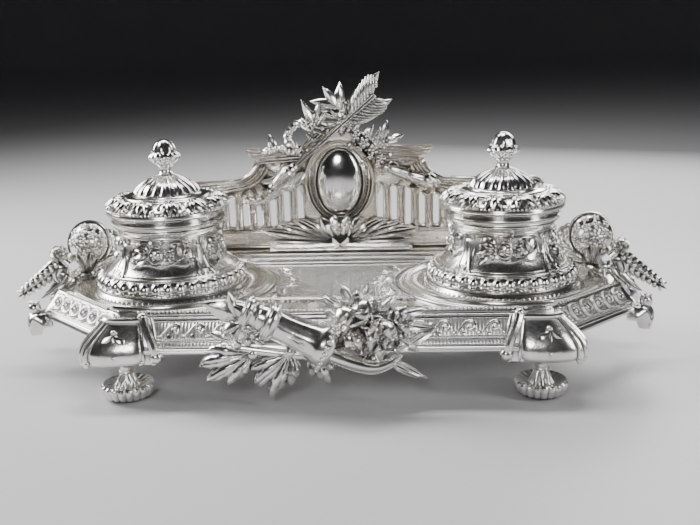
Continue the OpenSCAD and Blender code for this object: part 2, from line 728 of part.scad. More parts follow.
module palm(side) {
    palm_t = 3;
    palm_w = 7;
    color([0.84, 0.83, 0.8]) mirror([side < 0 ? 1 : 0, 0, 0]) difference() {
        translate([0, 0, gallery_z + bar_h + 1.5])
            upright(bar_front + 0.8, bar_front + 0.8 + palm_t) leaf_fan(palm_leaves, palm_w, 4);
        translate([-bar_half, bar_front - over, 0]) cube([3 * bar_half, 4 * palm_t, gallery_z + bar_h]);
        translate([0, bar_front + 0.4, gallery_z + bar_h]) sphere(r = tie_r + seat_gap, $fn = 40);
        translate([0, 0, cart_z]) upright(panel_front - frame_depth - seat_gap, panel_rear)
            polygon(oval(frame_half_w, frame_half_h));
        translate([-bar_half, 0, 0]) cube([bar_half, deck_rear, rail_top]);
    }
}

// ---------- front mount ----------

quiver_tail = [-43, deck_z + 8];            // thin end of the front quiver
quiver_angle = -26;
quiver_l = 50;
mount_y = -deck_front - front_out - 2.7;    // axis of the front quiver

// Outline of the front quiver along its axis: tail knob, two collars, body and mouth.
function quiver_outline() = [[0, 0], [3, 0], [4, 2.5], [4.6, 6], [7, 6.6], [7.4, 8.6], [7, 10.6], [5.6, 11.4],
    [6.2, 17], [7.8, 17.6], [8.2, 20], [7.8, 22.4], [6.6, 23.2], [7, 30], [8.6, quiver_l - 8],
    [9.4, quiver_l - 6], [9.9, quiver_l - 3], [9, quiver_l], [0, quiver_l]];

module front_quiver() {
    color([0.78, 0.77, 0.74]) difference() {
        translate([quiver_tail[0], mount_y, quiver_tail[1]]) rotate([0, 90 - quiver_angle, 0])
            rotate_extrude() polygon(quiver_outline());
        stand_outside();
        for (x = front_stud_x) translate([x, -deck_front, front_stud_z]) rotate([90, 0, 0])
            cylinder(r = screw_r + seat_gap, h = 16);
    }
}

// The roses that spill from the quiver: place, depth and radius of each.
front_blooms = [[10, -5, 0, 8.6], [24.5, -3, 0, 9], [14, 9.5, 0.5, 7.4], [33, 7, 2, 6.4], [21, -13, 1, 6.2]];

rose_leaves = [[29, -13, -34, 17], [31, -3, 4, 15]];

module front_roses() {
    rose_z = deck_z - 5;
    color([0.86, 0.85, 0.82]) difference() {
        union() {
            for (b = front_blooms)
                translate([b[0], mount_y + b[2], rose_z + b[1]]) sphere(r = b[3], $fn = 32);
            translate([0, 0, rose_z]) upright(mount_y - 2, mount_y + 1.6) leaf_fan(rose_leaves, 7, 3);
        }
        stand_outside();
        translate([quiver_tail[0], mount_y, quiver_tail[1]]) rotate([0, 90 - quiver_angle, 0])
            cylinder(r = 10.2, h = quiver_l + seat_gap);
        for (x = front_stud_x) translate([x, -deck_front, front_stud_z]) rotate([90, 0, 0])
            cylinder(r = screw_r + seat_gap, h = 16);
    }
}

// Hanging leaves below the quiver: base, direction and length of each lobe.
front_lobes = [[-33, -12, 202, 28], [-34, -14, 224, 25], [-21, -15, 222, 26], [-19, -15, 244, 23],
    [-16, -14, 264, 19], [-7, -14, 290, 17], [-40, -1, 150, 15], [-38, -9, 108, 12]];

module front_leaves() {
    lobe_t = 3.2;
    lobe_w = 8.5;
    color([0.84, 0.83, 0.8]) difference() {
        union() {
            translate([0, 0, deck_z]) upright(mount_y - lobe_t, mount_y - 0.3) leaf_fan(front_lobes, lobe_w, 6);
            translate([0, 0, deck_z]) upright(mount_y - lobe_t + 0.5, mount_y)
                translate([-43, -12.5]) rotate(-14) square([38, 5.5]);
        }
        stand_outside();
        translate([quiver_tail[0], mount_y, quiver_tail[1]]) rotate([0, 90 - quiver_angle, 0])
            rotate_extrude() polygon(quiver_outline());
    }
}

module front_studs() {
    head_r = 2.6;
    length = 10;
    color([0.5, 0.5, 0.5]) for (x = front_stud_x)
        translate([x, -deck_front - front_out / 2 + 2, front_stud_z]) rotate([90, 0, 0])
            cylinder(r = screw_r, h = length);
}

// ---------- handles ----------

mouth_z = deck_z + mouth_rise;
mouth_tilt = 74;
mouth_yaw = 8;
horn_base = ring_top + seat_gap;

// Centre line of a horn from behind its mouth round to its tail, with the radius at each point.
function horn_path() = [[-2.3, 8.6, -1.5, 8.6], [-8, 14.6, -3.5, 7.2], [-11.6, 17.4, -8, 5.6],
    [-8.6, 14.4, -12.2, 4.4], [-1, 8, -13.6, 3.5], [3.6, 0, -14.2, 3], [3, -7, -14.2, 2.8]];

module at_mouth(side) {
    mirror([side < 0 ? 1 : 0, 0, 0]) translate([mouth_x, mouth_y, mouth_z])
        rotate([mouth_tilt, 0, mouth_yaw]) children();
}

module horn(side) {
    bell_l = 9;
    path = horn_path();
    color([0.78, 0.76, 0.72]) difference() {
        union() {
            at_mouth(side) rotate_extrude() polygon([[0, -bell_l], [8.4, -bell_l], [10, -6], [mouth_r - 1.3, -2.4],
                [mouth_r, -1.8], [mouth_r, 0], [0, 0]]);
            mirror([side < 0 ? 1 : 0, 0, 0]) translate([mouth_x, mouth_y, mouth_z])
                for (i = [0:len(path) - 2]) hull() {
                    translate([path[i][0], path[i][1], path[i][2]]) sphere(r = path[i][3], $fn = 20);
                    translate([path[i + 1][0], path[i + 1][1], path[i + 1][2]])
                        sphere(r = path[i + 1][3], $fn = 20);
                }
            translate([side * horn_foot[0], horn_foot[1] + 3, horn_base]) cylinder(r = 3.4, h = 6);
            translate([side * horn_foot[0], horn_foot[1], horn_base]) cylinder(r = 4.2, h = 1.8);
        }
        translate([side * horn_foot[0], horn_foot[1], horn_base - over])
            cylinder(r = screw_r + seat_gap, h = 4.5 + over);
    }
}

plug_h = 2.4;                               // thickness of the disc that closes a horn's mouth

// The blossoms on that disc; room makes them larger for a cut.
module blossoms(room = 0) {
    bloom_r = 3.7;
    ring = mouth_r - bloom_r - 1;
    translate([0, 0, bloom_r + 0.8]) sphere(r = bloom_r + room);
    for (i = [0:5]) rotate([0, 0, i * 60]) translate([ring, 0, bloom_r + 0.1]) sphere(r = bloom_r + room);
}

module horn_flowers(side) {
    color([0.8, 0.78, 0.74]) at_mouth(side) translate([0, 0, 0.1]) {
        cylinder(r = mouth_r - 1, h = plug_h);
        blossoms();
    }
}

// A spray of leaves and buds that trails from the mouth, out and down past the end of the stand.
spray_leaves = [[0, 0, -35, 33], [1, 3, -32, 20], [2, -3, -41, 23], [-2, -3, -54, 16], [4, -11, -33, 16]];

module horn_spray(side) {
    spray_t = 3;
    spray_w = 6.5;
    stem_r = 2.6;
    bud_r = 4.4;
    start = [mouth_x + 9, mouth_z - 7];
    spray_y = mouth_y - 10.5;
    color([0.8, 0.78, 0.74]) mirror([side < 0 ? 1 : 0, 0, 0]) difference() {
        union() {
            translate([start[0], 0, start[1]]) upright(spray_y - spray_t, spray_y) {
                leaf_fan(spray_leaves, spray_w, 2);
                circle(r = stem_r);
            }
            translate([start[0] + 2.7, spray_y - spray_t / 2, start[1] + 4.6]) sphere(r = bud_r);
            translate([start[0], spray_y - 0.5, start[1]]) rotate([-90, 0, 0]) cylinder(r = stem_r, h = 9);
        }
        translate([mouth_x, mouth_y, mouth_z]) rotate([mouth_tilt, 0, mouth_yaw]) {
            translate([0, 0, -20]) cylinder(r = mouth_r + seat_gap, h = 20 + plug_h + 0.1 + seat_gap);
            translate([0, 0, 0.1]) blossoms(seat_gap);
        }
        stand_outside();
    }
}

module horn_screws() {
    head_r = 2.6;
    head_h = 1.8;
    color([0.5, 0.5, 0.5]) for (side = SIDES) translate([side * horn_foot[0], horn_foot[1], 0]) {
        translate([0, 0, deck_z - wall - head_h]) cylinder(r = head_r, h = head_h);
        translate([0, 0, deck_z - wall - thin]) cylinder(r = screw_r, h = wall + ring_h + 4);
    }
}

// ---------- inkwells ----------

// Outside of a body between its bead and its rim, g further out.
function waist_curve(g, n) = curve([base_r - 4 + g, bead_top + 0.2], [waist_r + 5 + g, bead_top + 2],
    [waist_r + g, bead_top + 8], [waist_r + g, body_top - 9], n);

// Right half of an inkwell body's wall, from its base up the outside and down the inside.
function body_outline() = let (
        z0 = socket_top, top = body_top, inner_top = liner_r + 2)
    concat([[spigot_r - spigot_wall, z0 - spigot_h], [spigot_r, z0 - spigot_h], [spigot_r, z0],
            [base_r, z0], [base_r, z0 + 2]],
        curve([base_r - 1.2, z0 + 2.4], [base_r - 0.2, z0 + 3.6], [base_r - 0.8, z0 + 6],
            [base_r - 3, bead_top], 8),
        waist_curve(0, 12),
        curve([waist_r, top - 8], [waist_r + 0.2, top - 5], [waist_r + 1, top - 4], [rim_r - 1.8, top - 3.2], 5),
        [[rim_r - 1.8, top - 2], [rim_r - 0.6, top - 1.6], [rim_r, top - 1], [rim_r, top],
         [liner_r + 3.6, top], [liner_r + 3.6, top - 1.4], [inner_top, top - 1.4], [inner_top, top - 13]],
        curve([inner_top, top - 14], [inner_top + 1, bead_top + 5], [waist_r + 4, bead_top],
            [spigot_r - spigot_wall, z0 + 4], 8));

// The bold relief on a body: eggs round its foot, four straps, and a rose between them.
module chasing() {
    eggs = 38;
    egg_r = 2.45;
    strap_w = 5;
    strap_t = 1.1;
    rose_r = 2.7;
    for (i = [1:eggs]) rotate((i - 0.5) * 360 / eggs)
        translate([base_r - 2.7, 0, socket_top + 5]) sphere(r = egg_r, $fn = 24);
    intersection() {
        rotate_extrude() polygon(concat(waist_curve(strap_t, 6),
            [for (i = [6:-1:0]) waist_curve(-1, 6)[i]]));
        for (a = [45, 135]) rotate(a) translate([-base_r, -strap_w / 2, bead_top])
            cube([2 * base_r, strap_w, body_top - bead_top]);
    }
    for (a = [0:90:270]) rotate(a) translate([waist_r + 1.2, 0, body_top - 13.4]) sphere(r = rose_r, $fn = 32);
}

lug_l = 3.5;                                // length of each outer knuckle
lug_gap = 0.15;

module inkwell(side) {
    web_drop = 4.6;
    color([0.8, 0.79, 0.76]) translate([side * well_x, 0, 0]) difference() {
        union() {
            rotate_extrude() polygon(body_outline());
            chasing();
            for (s = SIDES) translate([s * (knuckle_l / 2 + lug_gap + lug_l / 2), 0, 0]) {
                translate([-lug_l / 2, hinge_y, hinge_z]) rotate([0, 90, 0])
                    cylinder(r = knuckle_r, h = lug_l, $fn = 40);
                translate([-lug_l / 2, rim_r - 3, body_top - web_drop])
                    cube([lug_l, hinge_y - rim_r + 3 + knuckle_r * 0.5, web_drop - 0.2]);
            }
        }
        translate([-knuckle_l - lug_l, hinge_y, hinge_z]) rotate([0, 90, 0])
            cylinder(r = pin_r + seat_gap, h = 2 * (knuckle_l + lug_l), $fn = 40);
    }
}

// Glass cup that hangs by its flange inside the body.
module liner(side) {
    top = body_top - 0.1;
    cup_h = body_h - 5;
    flange_t = 1.3;
    color([0.7, 0.8, 0.82, 0.5]) translate([side * well_x, 0, 0]) rotate_extrude() polygon([
        [0, top - cup_h], [liner_r - 2, top - cup_h], [liner_r, top - cup_h + 2],
        [liner_r, top - flange_t], [liner_r + 3.4, top - flange_t], [liner_r + 3.4, top],
        [liner_r - glass, top], [liner_r - glass, top - cup_h + glass + 1],
        [liner_r - glass - 1, top - cup_h + glass], [0, top - cup_h + glass]]);
}

module hinge_pin(side) {
    half = knuckle_l / 2 + lug_gap + lug_l;
    color([0.6, 0.6, 0.6]) translate([side * well_x - half, hinge_y, hinge_z]) rotate([0, 90, 0])
        cylinder(r = pin_r, h = 2 * half, $fn = 40);
}

// ---------- lids ----------

// Right half of a lid's wall: band, leaf flange, cove, fluted dome and finial seat, then back inside.
function lid_outline() = let (z0 = lid_z, f0 = z0 + band_h, f1 = f0 + 7, cove_r = dome_r + 5.6,
        seat = lid_top, dome_z = f1 + 2.8, bore = screw_r + seat_gap)
    concat([[band_r - shell, z0], [band_r, z0], [band_r, f0], [flange_r, f0 + 0.2], [flange_r, f0 + 1.4],
            [flange_r - 0.6, f0 + 2.8], [cove_r + 1.2, f1], [cove_r, f1 + 0.2], [cove_r, f1 + 1],
            [cove_r - 1, f1 + 1.4], [dome_r + 0.8, f1 + 1.4], [dome_r + 0.4, f1 + 2.2]],
        curve([dome_r, dome_z], [dome_r - 1.4, dome_z + 5], [8, seat - 1.6], [4.4, seat - 0.4], 8),
        [[3.9, seat], [bore, seat], [bore, seat - 2.6]],
        curve([3.4, seat - 2.8], [7, seat - 4], [dome_r - 3, dome_z + 3], [dome_r - 1.6, dome_z - 0.6], 6),
        [[cove_r - 1, f1 - 1], [flange_r - 3.4, f0 + 2.2], [band_r - shell, f0]]);

module lid(side) {
    web_l = knuckle_l;
    color([0.8, 0.79, 0.76]) translate([side * well_x, 0, 0]) difference() {
        union() {
            rotate_extrude() polygon(lid_outline());
            translate([-knuckle_l / 2, hinge_y, hinge_z]) rotate([0, 90, 0])
                cylinder(r = knuckle_r, h = knuckle_l, $fn = 40);
            translate([-web_l / 2, band_r - 1.2, hinge_z + 0.2])
                cube([web_l, hinge_y - band_r + 1.2, knuckle_r - 0.3]);
        }
        translate([-knuckle_l, hinge_y, hinge_z]) rotate([0, 90, 0])
            cylinder(r = pin_r + seat_gap, h = 2 * knuckle_l, $fn = 40);
    }
}

module finial(side) {
    z = finial_h;
    color([0.82, 0.81, 0.78]) translate([side * well_x, 0, lid_top]) rotate_extrude() polygon(concat(
        [[0, -4], [screw_r, -4], [screw_r, 0], [3.7, 0], [3.2, 0.9]],
        curve([2.7, 1.6], [2.4, z * 0.2], [3, z * 0.22], [4, z * 0.28], 5),
        curve([4.4, z * 0.3], [6, z * 0.38], [finial_r, z * 0.46], [finial_r, z * 0.54], 6),
        [[finial_r - 0.3, z * 0.58], [finial_r - 1.2, z * 0.59]],
        curve([finial_r - 1.1, z * 0.6], [finial_r - 1, z * 0.84], [2.6, z * 0.93], [0, z], 8)));
}

// ---------- what is drawn ----------

tray();
centre_panel();
rear_steps();
well(-1);  // well_left
well(1);  // well_right
well_ring(-1);  // well_ring_left
well_ring(1);  // well_ring_right
corner_block(-1, -1);  // block_front_left
corner_block(1, -1);  // block_front_right
corner_block(-1, 1);  // block_rear_left
corner_block(1, 1);  // block_rear_right
side_block(-1, -1);  // side_block_front_left
side_block(1, -1);  // side_block_front_right
side_block(-1, 1);  // side_block_rear_left
side_block(1, 1);  // side_block_rear_right
turned_foot(-1, -1);  // foot_front_left
turned_foot(1, -1);  // foot_front_right
turned_foot(-1, 1);  // foot_rear_left
turned_foot(1, 1);  // foot_rear_right
foot_studs();
gallery();
gallery_end(-1);  // gallery_end_left
gallery_end(1);  // gallery_end_right
gallery_screws();
cartouche_frame();
cartouche_boss();
arrow();
torch();
ribbon();
laurel();
gallery_flowers();
gallery_quiver();
palm(-1);  // palm_left
palm(1);  // palm_right
palm_bar();
front_quiver();
front_roses();
front_leaves();
front_studs();
horn(-1);  // horn_left
horn(1);  // horn_right
horn_flowers(-1);  // horn_flowers_left
horn_flowers(1);  // horn_flowers_right
horn_spray(-1);  // horn_spray_left
horn_spray(1);  // horn_spray_right
horn_screws();
inkwell(-1);  // inkwell_left
inkwell(1);  // inkwell_right
liner(-1);  // liner_left
liner(1);  // liner_right
hinge_pin(-1);  // hinge_pin_left
hinge_pin(1);  // hinge_pin_right
lid(-1);  // lid_left
lid(1);  // lid_right
finial(-1);  // finial_left
finial(1);  // finial_right
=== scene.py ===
"""Looks of a silver desk inkstand, built around its packed construction model."""

import logging
import math
import random
from dataclasses import dataclass, field
from enum import Enum
from typing import Callable, Iterable, Sequence

import bmesh
import bpy
from mathutils import Matrix, Vector


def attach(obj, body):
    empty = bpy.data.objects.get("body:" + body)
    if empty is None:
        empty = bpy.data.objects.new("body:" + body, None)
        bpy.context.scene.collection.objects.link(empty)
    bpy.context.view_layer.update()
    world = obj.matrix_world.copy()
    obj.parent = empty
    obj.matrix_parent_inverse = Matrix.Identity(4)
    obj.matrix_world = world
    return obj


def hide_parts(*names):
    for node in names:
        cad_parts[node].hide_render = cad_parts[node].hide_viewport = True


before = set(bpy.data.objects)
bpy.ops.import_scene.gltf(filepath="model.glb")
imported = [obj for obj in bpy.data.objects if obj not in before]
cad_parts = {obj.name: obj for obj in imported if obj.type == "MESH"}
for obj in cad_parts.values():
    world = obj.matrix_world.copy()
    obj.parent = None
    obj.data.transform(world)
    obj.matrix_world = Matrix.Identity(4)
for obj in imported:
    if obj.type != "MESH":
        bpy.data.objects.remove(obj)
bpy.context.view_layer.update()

log = logging.getLogger("inkstand")
MM = 0.001
UNIT = Matrix.Identity(4)
MIX_A, MIX_B = 6, 7  # Where a mix node takes its two colours.
Point = Sequence[float]
Colour = tuple[float, float, float, float]
Mesh = bmesh.types.BMesh
Socket = bpy.types.NodeSocket
SIDES = (-1, 1)
ENDS = (("left", -1), ("right", 1))
CORNERS = (("front_left", -1, -1), ("front_right", 1, -1), ("rear_left", -1, 1),
           ("rear_right", 1, 1))
FRONT = (0, -1, 0)
BACK = (0, 1, 0)


# ---------- placing ----------


def move(x: float, y: float, z: float) -> Matrix:
    """A shift in millimetres."""
    return Matrix.Translation((x, y, z))


def turn(degrees: float, axis: str) -> Matrix:
    """A rotation about a main axis."""
    return Matrix.Rotation(math.radians(degrees), 4, axis)


def size(x: float, y: float, z: float) -> Matrix:
    """A scale along the main axes."""
    return Matrix.Diagonal((x, y, z, 1.0))


def mirrored(side: float) -> Matrix:
    """The mirror image across x = 0 for the left side, nothing for the right."""
    return size(-1, 1, 1) if side < 0 else UNIT.copy()


def upright(x: float, y: float, z: float, degrees: float = 0.0) -> Matrix:
    """Stands a flat ornament up so that it faces the front.

    Args:
        x: Place along the front, in millimetres.
        y: Depth of its back.
        z: Height.
        degrees: Direction of its own +X, seen from the front.

    Returns:
        The placing matrix.
    """
    return move(x, y, z) @ turn(90, "X") @ turn(degrees, "Z")


def on_ring(radius: float, z: float, degrees: float, lean: float = 0.0) -> Matrix:
    """Places a flat ornament on a round wall, facing outwards with its +Y up.

    Args:
        radius: Distance from the axis.
        z: Height.
        degrees: Direction round the axis.
        lean: How far its face tips up, in degrees.

    Returns:
        The placing matrix.
    """
    axes = Matrix(((0, 0, 1, 0), (1, 0, 0, 0), (0, 1, 0, 0), (0, 0, 0, 1)))
    return turn(degrees, "Z") @ move(radius, 0, z) @ turn(-lean, "Y") @ axes


def between(a: float, b: float, t: float) -> float:
    """The value a share t of the way from a to b."""
    return a + (b - a) * t


def smooth_path(points: Sequence[Point], steps: int = 6) -> list[Vector]:
    """A smooth curve through some points.

    Args:
        points: The points that it passes through.
        steps: Pieces between two of them.

    Returns:
        The points of the curve.
    """
    ends = [Vector(p).to_3d() for p in points]
    ends = [2 * ends[0] - ends[1]] + ends + [2 * ends[-1] - ends[-2]]
    path = []
    for p, q, r, s in zip(ends, ends[1:], ends[2:], ends[3:]):
        for i in range(steps):
            t = i / steps
            path.append(0.5 * (2 * q + (r - p) * t + (2 * p - 5 * q + 4 * r - s) * t * t
                               + (3 * q - p - 3 * r + s) * t ** 3))
    return path + [ends[-2]]


def spiral(radius: float, turns: float, start: float = 0.0, end: float = 0.18,
           steps: int = 22) -> list[Vector]:
    """A flat volute that winds in towards the origin.

    Args:
        radius: Its outer radius.
        turns: How often it goes round; negative winds clockwise.
        start: Direction of its outer end, in degrees.
        end: Share of the radius that is left at its eye.
        steps: Pieces along it.

    Returns:
        The points from its outer end to its eye.
    """
    path = []
    for i in range(steps + 1):
        t = i / steps
        a = math.radians(start + 360 * turns * t)
        r = radius * between(1, end, t ** 0.8)
        path.append(Vector((r * math.cos(a), r * math.sin(a), 0)))
    return path


# ---------- shapes ----------

ROUND = [(math.cos(math.tau * i / 8), math.sin(math.tau * i / 8)) for i in range(8)]
HALF_ROUND = [(-1, -0.3), (-0.92, 0.38), (-0.5, 0.86), (0, 1), (0.5, 0.86), (0.92, 0.38), (1, -0.3)]
VEINED = [(-1, -0.1), (-0.62, 0.8), (-0.2, 0.95), (0, 0.45), (0.2, 0.95), (0.62, 0.8), (1, -0.1),
          (0, -0.5)]
RIBBED = [(-1, -0.1), (-0.8, 0.6), (-0.6, 0.25), (-0.38, 0.9), (-0.17, 0.4), (0, 1.1), (0.17, 0.4),
          (0.38, 0.9), (0.6, 0.25), (0.8, 0.6), (1, -0.1), (0, -0.5)]
KEELED = [(-1, -0.1), (-0.7, 0.5), (-0.2, 0.92), (0, 1.08), (0.2, 0.92), (0.7, 0.5),
          (1, -0.1), (0, -0.5)]
FLUTED = [(-1, -0.1), (-0.84, 0.5), (-0.64, 0.42), (-0.44, 0.8), (-0.22, 0.7),
          (0, 1), (0.22, 0.7), (0.44, 0.8), (0.64, 0.42), (0.84, 0.5), (1, -0.1), (0, -0.5)]
CUPPED = [(-1, 0.55), (-0.55, 0.14), (0, 0), (0.55, 0.14), (1, 0.55), (0.9, 0.75), (0.5, 0.42),
          (0, 0.3), (-0.5, 0.42), (-0.9, 0.75)]


def outward(bm: Mesh) -> Mesh:
    """Turns the faces of a closed mesh outwards."""
    bmesh.ops.recalc_face_normals(bm, faces=bm.faces[:])
    if bm.calc_volume(signed=True) < 0:
        bmesh.ops.reverse_faces(bm, faces=bm.faces[:])
    return bm


def swept(path: Sequence[Point], widths: Sequence[float], heights: Sequence[float],
          outline: Sequence[Point], up: Point = (0, 0, 1)) -> Mesh:
    """Extrudes an outline along a path, with a width and a height at each point.

    Args:
        path: The points that it follows.
        widths: Half widths, spread evenly along the path.
        heights: Heights, spread evenly along the path.
        outline: Closed outline, across and up.
        up: Direction that the outline's height keeps to.

    Returns:
        A closed mesh.
    """
    path = [Vector(p).to_3d() for p in path]
    frames = []
    for i, here in enumerate(path):
        along = (path[min(i + 1, len(path) - 1)] - path[max(i - 1, 0)]).normalized()
        across = along.cross(Vector(up)).normalized()
        rise = across.cross(along)
        t = i / (len(path) - 1)
        w, h = (max(0.02, spread(values, t)) for values in (widths, heights))
        axes = Matrix((across, rise, -along)).transposed().to_4x4()
        frames.append(Matrix.Translation(here) @ axes @ size(w, h, 1))
    bm = bmesh.new()
    cap = bm.faces.new([bm.verts.new(frames[0] @ Vector((a, b, 0))) for a, b in outline])
    for i, (last, this) in enumerate(zip(frames, frames[1:])):
        grown = bmesh.ops.extrude_face_region(bm, geom=[cap])["geom"]
        if i:
            bmesh.ops.delete(bm, geom=[cap], context="FACES_ONLY")
        cap = next(part for part in grown if isinstance(part, bmesh.types.BMFace))
        bmesh.ops.transform(bm, matrix=this @ last.inverted(), verts=cap.verts[:])
    return outward(bm)


def spread(values: Sequence[float], t: float) -> float:
    """The value at a share t of a list of evenly spaced values."""
    place = t * (len(values) - 1)
    i = min(int(place), len(values) - 2) if len(values) > 1 else 0
    return values[0] if len(values) == 1 else between(values[i], values[i + 1], place - i)


def turned(profile: Sequence[Point], steps: int = 96) -> Mesh:
    """Spins a profile about the Z axis.

    Args:
        profile: Radius and height of each point.
        steps: Pieces round the axis.

    Returns:
        The turned mesh, with its seam and poles closed.
    """
    bm = bmesh.new()
    verts = [bm.verts.new((r, 0, z)) for r, z in profile]
    edges = [bm.edges.new(pair) for pair in zip(verts, verts[1:])]
    bmesh.ops.spin(bm, geom=verts + edges, cent=(0, 0, 0), axis=(0, 0, 1), angle=math.tau,
                   steps=steps, use_merge=True, use_duplicate=False)
    bmesh.ops.remove_doubles(bm, verts=bm.verts[:], dist=1e-4)
    return outward(bm)


def bead(radius: float, stretch: Point = (1, 1, 1), fine: bool = False) -> Mesh:
    """A small ball, stretched along its axes.

    Args:
        radius: Its radius before it is stretched.
        stretch: Scale along each axis.
        fine: Whether it is large enough to be seen as round.

    Returns:
        A closed mesh.
    """
    bm = bmesh.new()
    across, rows = (16, 10) if fine else (8, 5)
    bmesh.ops.create_uvsphere(bm, u_segments=across, v_segments=rows, radius=radius,
                              matrix=size(*stretch))
    return bm


def slab(x: float, y: float, z: float) -> Mesh:
    """A block with its edges broken, centred on the origin.

    Args:
        x: Its width.
        y: Its depth.
        z: Its height.

    Returns:
        A closed mesh.
    """
    bm = bmesh.new()
    bmesh.ops.create_cube(bm, size=1, matrix=size(x, y, z))
    bmesh.ops.bevel(bm, geom=bm.edges[:], offset=min(x, y, z) * 0.2, offset_type="OFFSET",
                    segments=2, profile=0.5, affect="EDGES", material=-1)
    return bm


def leaf(length: float, width: float, height: float = 1.0, bend: float = 0.0, lift: float = 0.0,
         curl: float = 0.0, teeth: int = 0, blunt: bool = False,
         outline: Sequence[Point] = VEINED) -> Mesh:
    """A leaf along +X with its face towards +Z.

    Args:
        length: Length of its midrib.
        width: Its full width.
        height: Height of its crown.
        bend: How far it turns sideways along its length, in degrees.
        lift: How far its middle arches up.
        curl: How far its tip rises or falls.
        teeth: Number of points along each edge.
        blunt: Whether its end is round instead of pointed.
        outline: Its cross section.

    Returns:
        A closed mesh.
    """
    steps = max(10, 4 * teeth)
    place, path, widths, heights = Vector((0, 0, 0)), [], [], []
    for i in range(steps + 1):
        t = i / steps
        path.append(place + Vector((0, 0, lift * math.sin(math.pi * t) + curl * t * t)))
        a = math.radians(bend * t)
        place = place + Vector((math.cos(a), math.sin(a), 0)) * length / steps
        full = math.sin(math.pi * t ** (1.5 if blunt else 0.8)) ** (0.6 if blunt else 0.9)
        if teeth and 0 < i < steps:
            full *= 1.08 if i % 4 == 3 else 0.78 if i % 4 == 0 else 0.95
        widths.append(width / 2 * full)
        heights.append(height * (0.35 + 0.65 * full))
    return swept(path, widths, heights, outline)


def wire(path: Sequence[Point], radius: float | Sequence[float], up: Point = (0, 0, 1)) -> Mesh:
    """A round rod along a path, of one radius or of several spread along it."""
    radii = [radius] if isinstance(radius, (int, float)) else list(radius)
    return swept(path, radii, radii, ROUND, up)


def strap(path: Sequence[Point], width: float, height: float,
          outline: Sequence[Point] = HALF_ROUND) -> Mesh:
    """A raised moulding on a flat ground."""
    return swept(path, [width / 2], [height], outline)


def closed_ring(radius: float, width: float, height: float, steps: int = 48) -> Mesh:
    """A half round ring that lies flat about the origin."""
    profile = [(radius + a * width / 2, max(b, 0) * height) for a, b in HALF_ROUND]
    return turned(profile + profile[:1], steps)


def hoop(radius: float, z: float, thick: float, sides: int = 10, steps: int = 96) -> Mesh:
    """A round wire that lies flat about the Z axis.

    Args:
        radius: Radius of its middle line.
        z: Its height.
        thick: Radius of the wire.
        sides: Pieces round the wire.
        steps: Pieces round the axis.

    Returns:
        A closed mesh.
    """
    around = [math.tau * i / sides for i in range(sides + 1)]
    return turned([(radius + thick * math.cos(a), z + thick * math.sin(a)) for a in around], steps)


def rippled(bm: Mesh, count: int, depth: float, low: float, high: float,
            cusped: bool = True, twist: float = 0.0) -> Mesh:
    """Works flutes or lobes into a turned mesh.

    Args:
        bm: The turned mesh.
        count: Number of lobes round it.
        depth: Depth between the lobes.
        low: Height where they begin.
        high: Height where they end.
        cusped: Whether the lobes meet in sharp valleys.
        twist: How far they turn from bottom to top, in degrees.

    Returns:
        The same mesh.
    """
    for v in bm.verts:
        t = (v.co.z - low) / (high - low)
        r = v.co.xy.length
        if not 0 <= t <= 1 or r < 1e-3:
            continue
        a = math.atan2(v.co.y, v.co.x) * count / 2 + math.radians(twist * t) * count / 2
        wave = abs(math.cos(a)) if cusped else 0.5 + 0.5 * math.cos(2 * a)
        fade = min(1, 6 * t, 6 * (1 - t))
        k = 1 - depth * (1 - wave) * fade / r
        v.co.x *= k
        v.co.y *= k
    return bm


class Form:
    """A piece in the making, in millimetres."""

    def __init__(self) -> None:
        """Starts with nothing."""
        self.bm = bmesh.new()

    def add(self, part: Mesh, *places: Matrix) -> "Form":
        """Takes a mesh in at each of some places and frees it.

        Args:
            part: The mesh to take in.
            places: Where its copies go; none leaves it where it is.

        Returns:
            This form.
        """
        cast = bpy.data.meshes.new("cast")
        part.to_mesh(cast)
        part.free()
        for place in places or (UNIT,):
            copy = cast.copy()
            copy.transform(place)
            if place.determinant() < 0:
                copy.flip_normals()
            self.bm.from_mesh(copy)
            bpy.data.meshes.remove(copy)
        bpy.data.meshes.remove(cast)
        return self

    def merge(self, other: "Form", *places: Matrix) -> "Form":
        """Takes a copy of another form in at each of some places."""
        return self.add(other.bm.copy(), *places)

    def bent(self, rule: Callable[[Vector], Vector]) -> "Form":
        """Moves every point by a rule, such as one that lays a flat ornament on a round wall."""
        for v in self.bm.verts:
            v.co = rule(v.co)
        return self

    def dressed(self, node: str, what: str, finish: "Surface", body: str = "stand",
                crease: float = 40.0) -> bpy.types.Object:
        """Finishes the piece that stands for one construction node, and is named after it."""
        return self.piece(f"{node}_{what}", finish, body, [node], crease)

    def piece(self, name: str, finish: "Surface", body: str, replaces: Iterable[str] = (),
              crease: float = 38.0) -> bpy.types.Object:
        """Finishes the piece and hangs it on its body.

        Args:
            name: Name of the piece.
            finish: What it is made of.
            body: The body that it moves with.
            replaces: Construction nodes that it stands for.
            crease: Angle above which an edge stays sharp, in degrees.

        Returns:
            The finished object.
        """
        bmesh.ops.transform(self.bm, matrix=size(MM, MM, MM), verts=self.bm.verts[:])
        mesh = bpy.data.meshes.new(name)
        self.bm.to_mesh(mesh)
        self.bm.free()
        mesh.shade_smooth()
        mesh.set_sharp_from_angle(angle=math.radians(crease))
        obj = bpy.data.objects.new(name, mesh)
        bpy.context.scene.collection.objects.link(obj)
        mesh.materials.append(finish.material())
        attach(obj, body)
        if replaces:
            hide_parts(*replaces)
        log.info("%s: %d faces, rides on %s", name, len(mesh.polygons), body)
        return obj


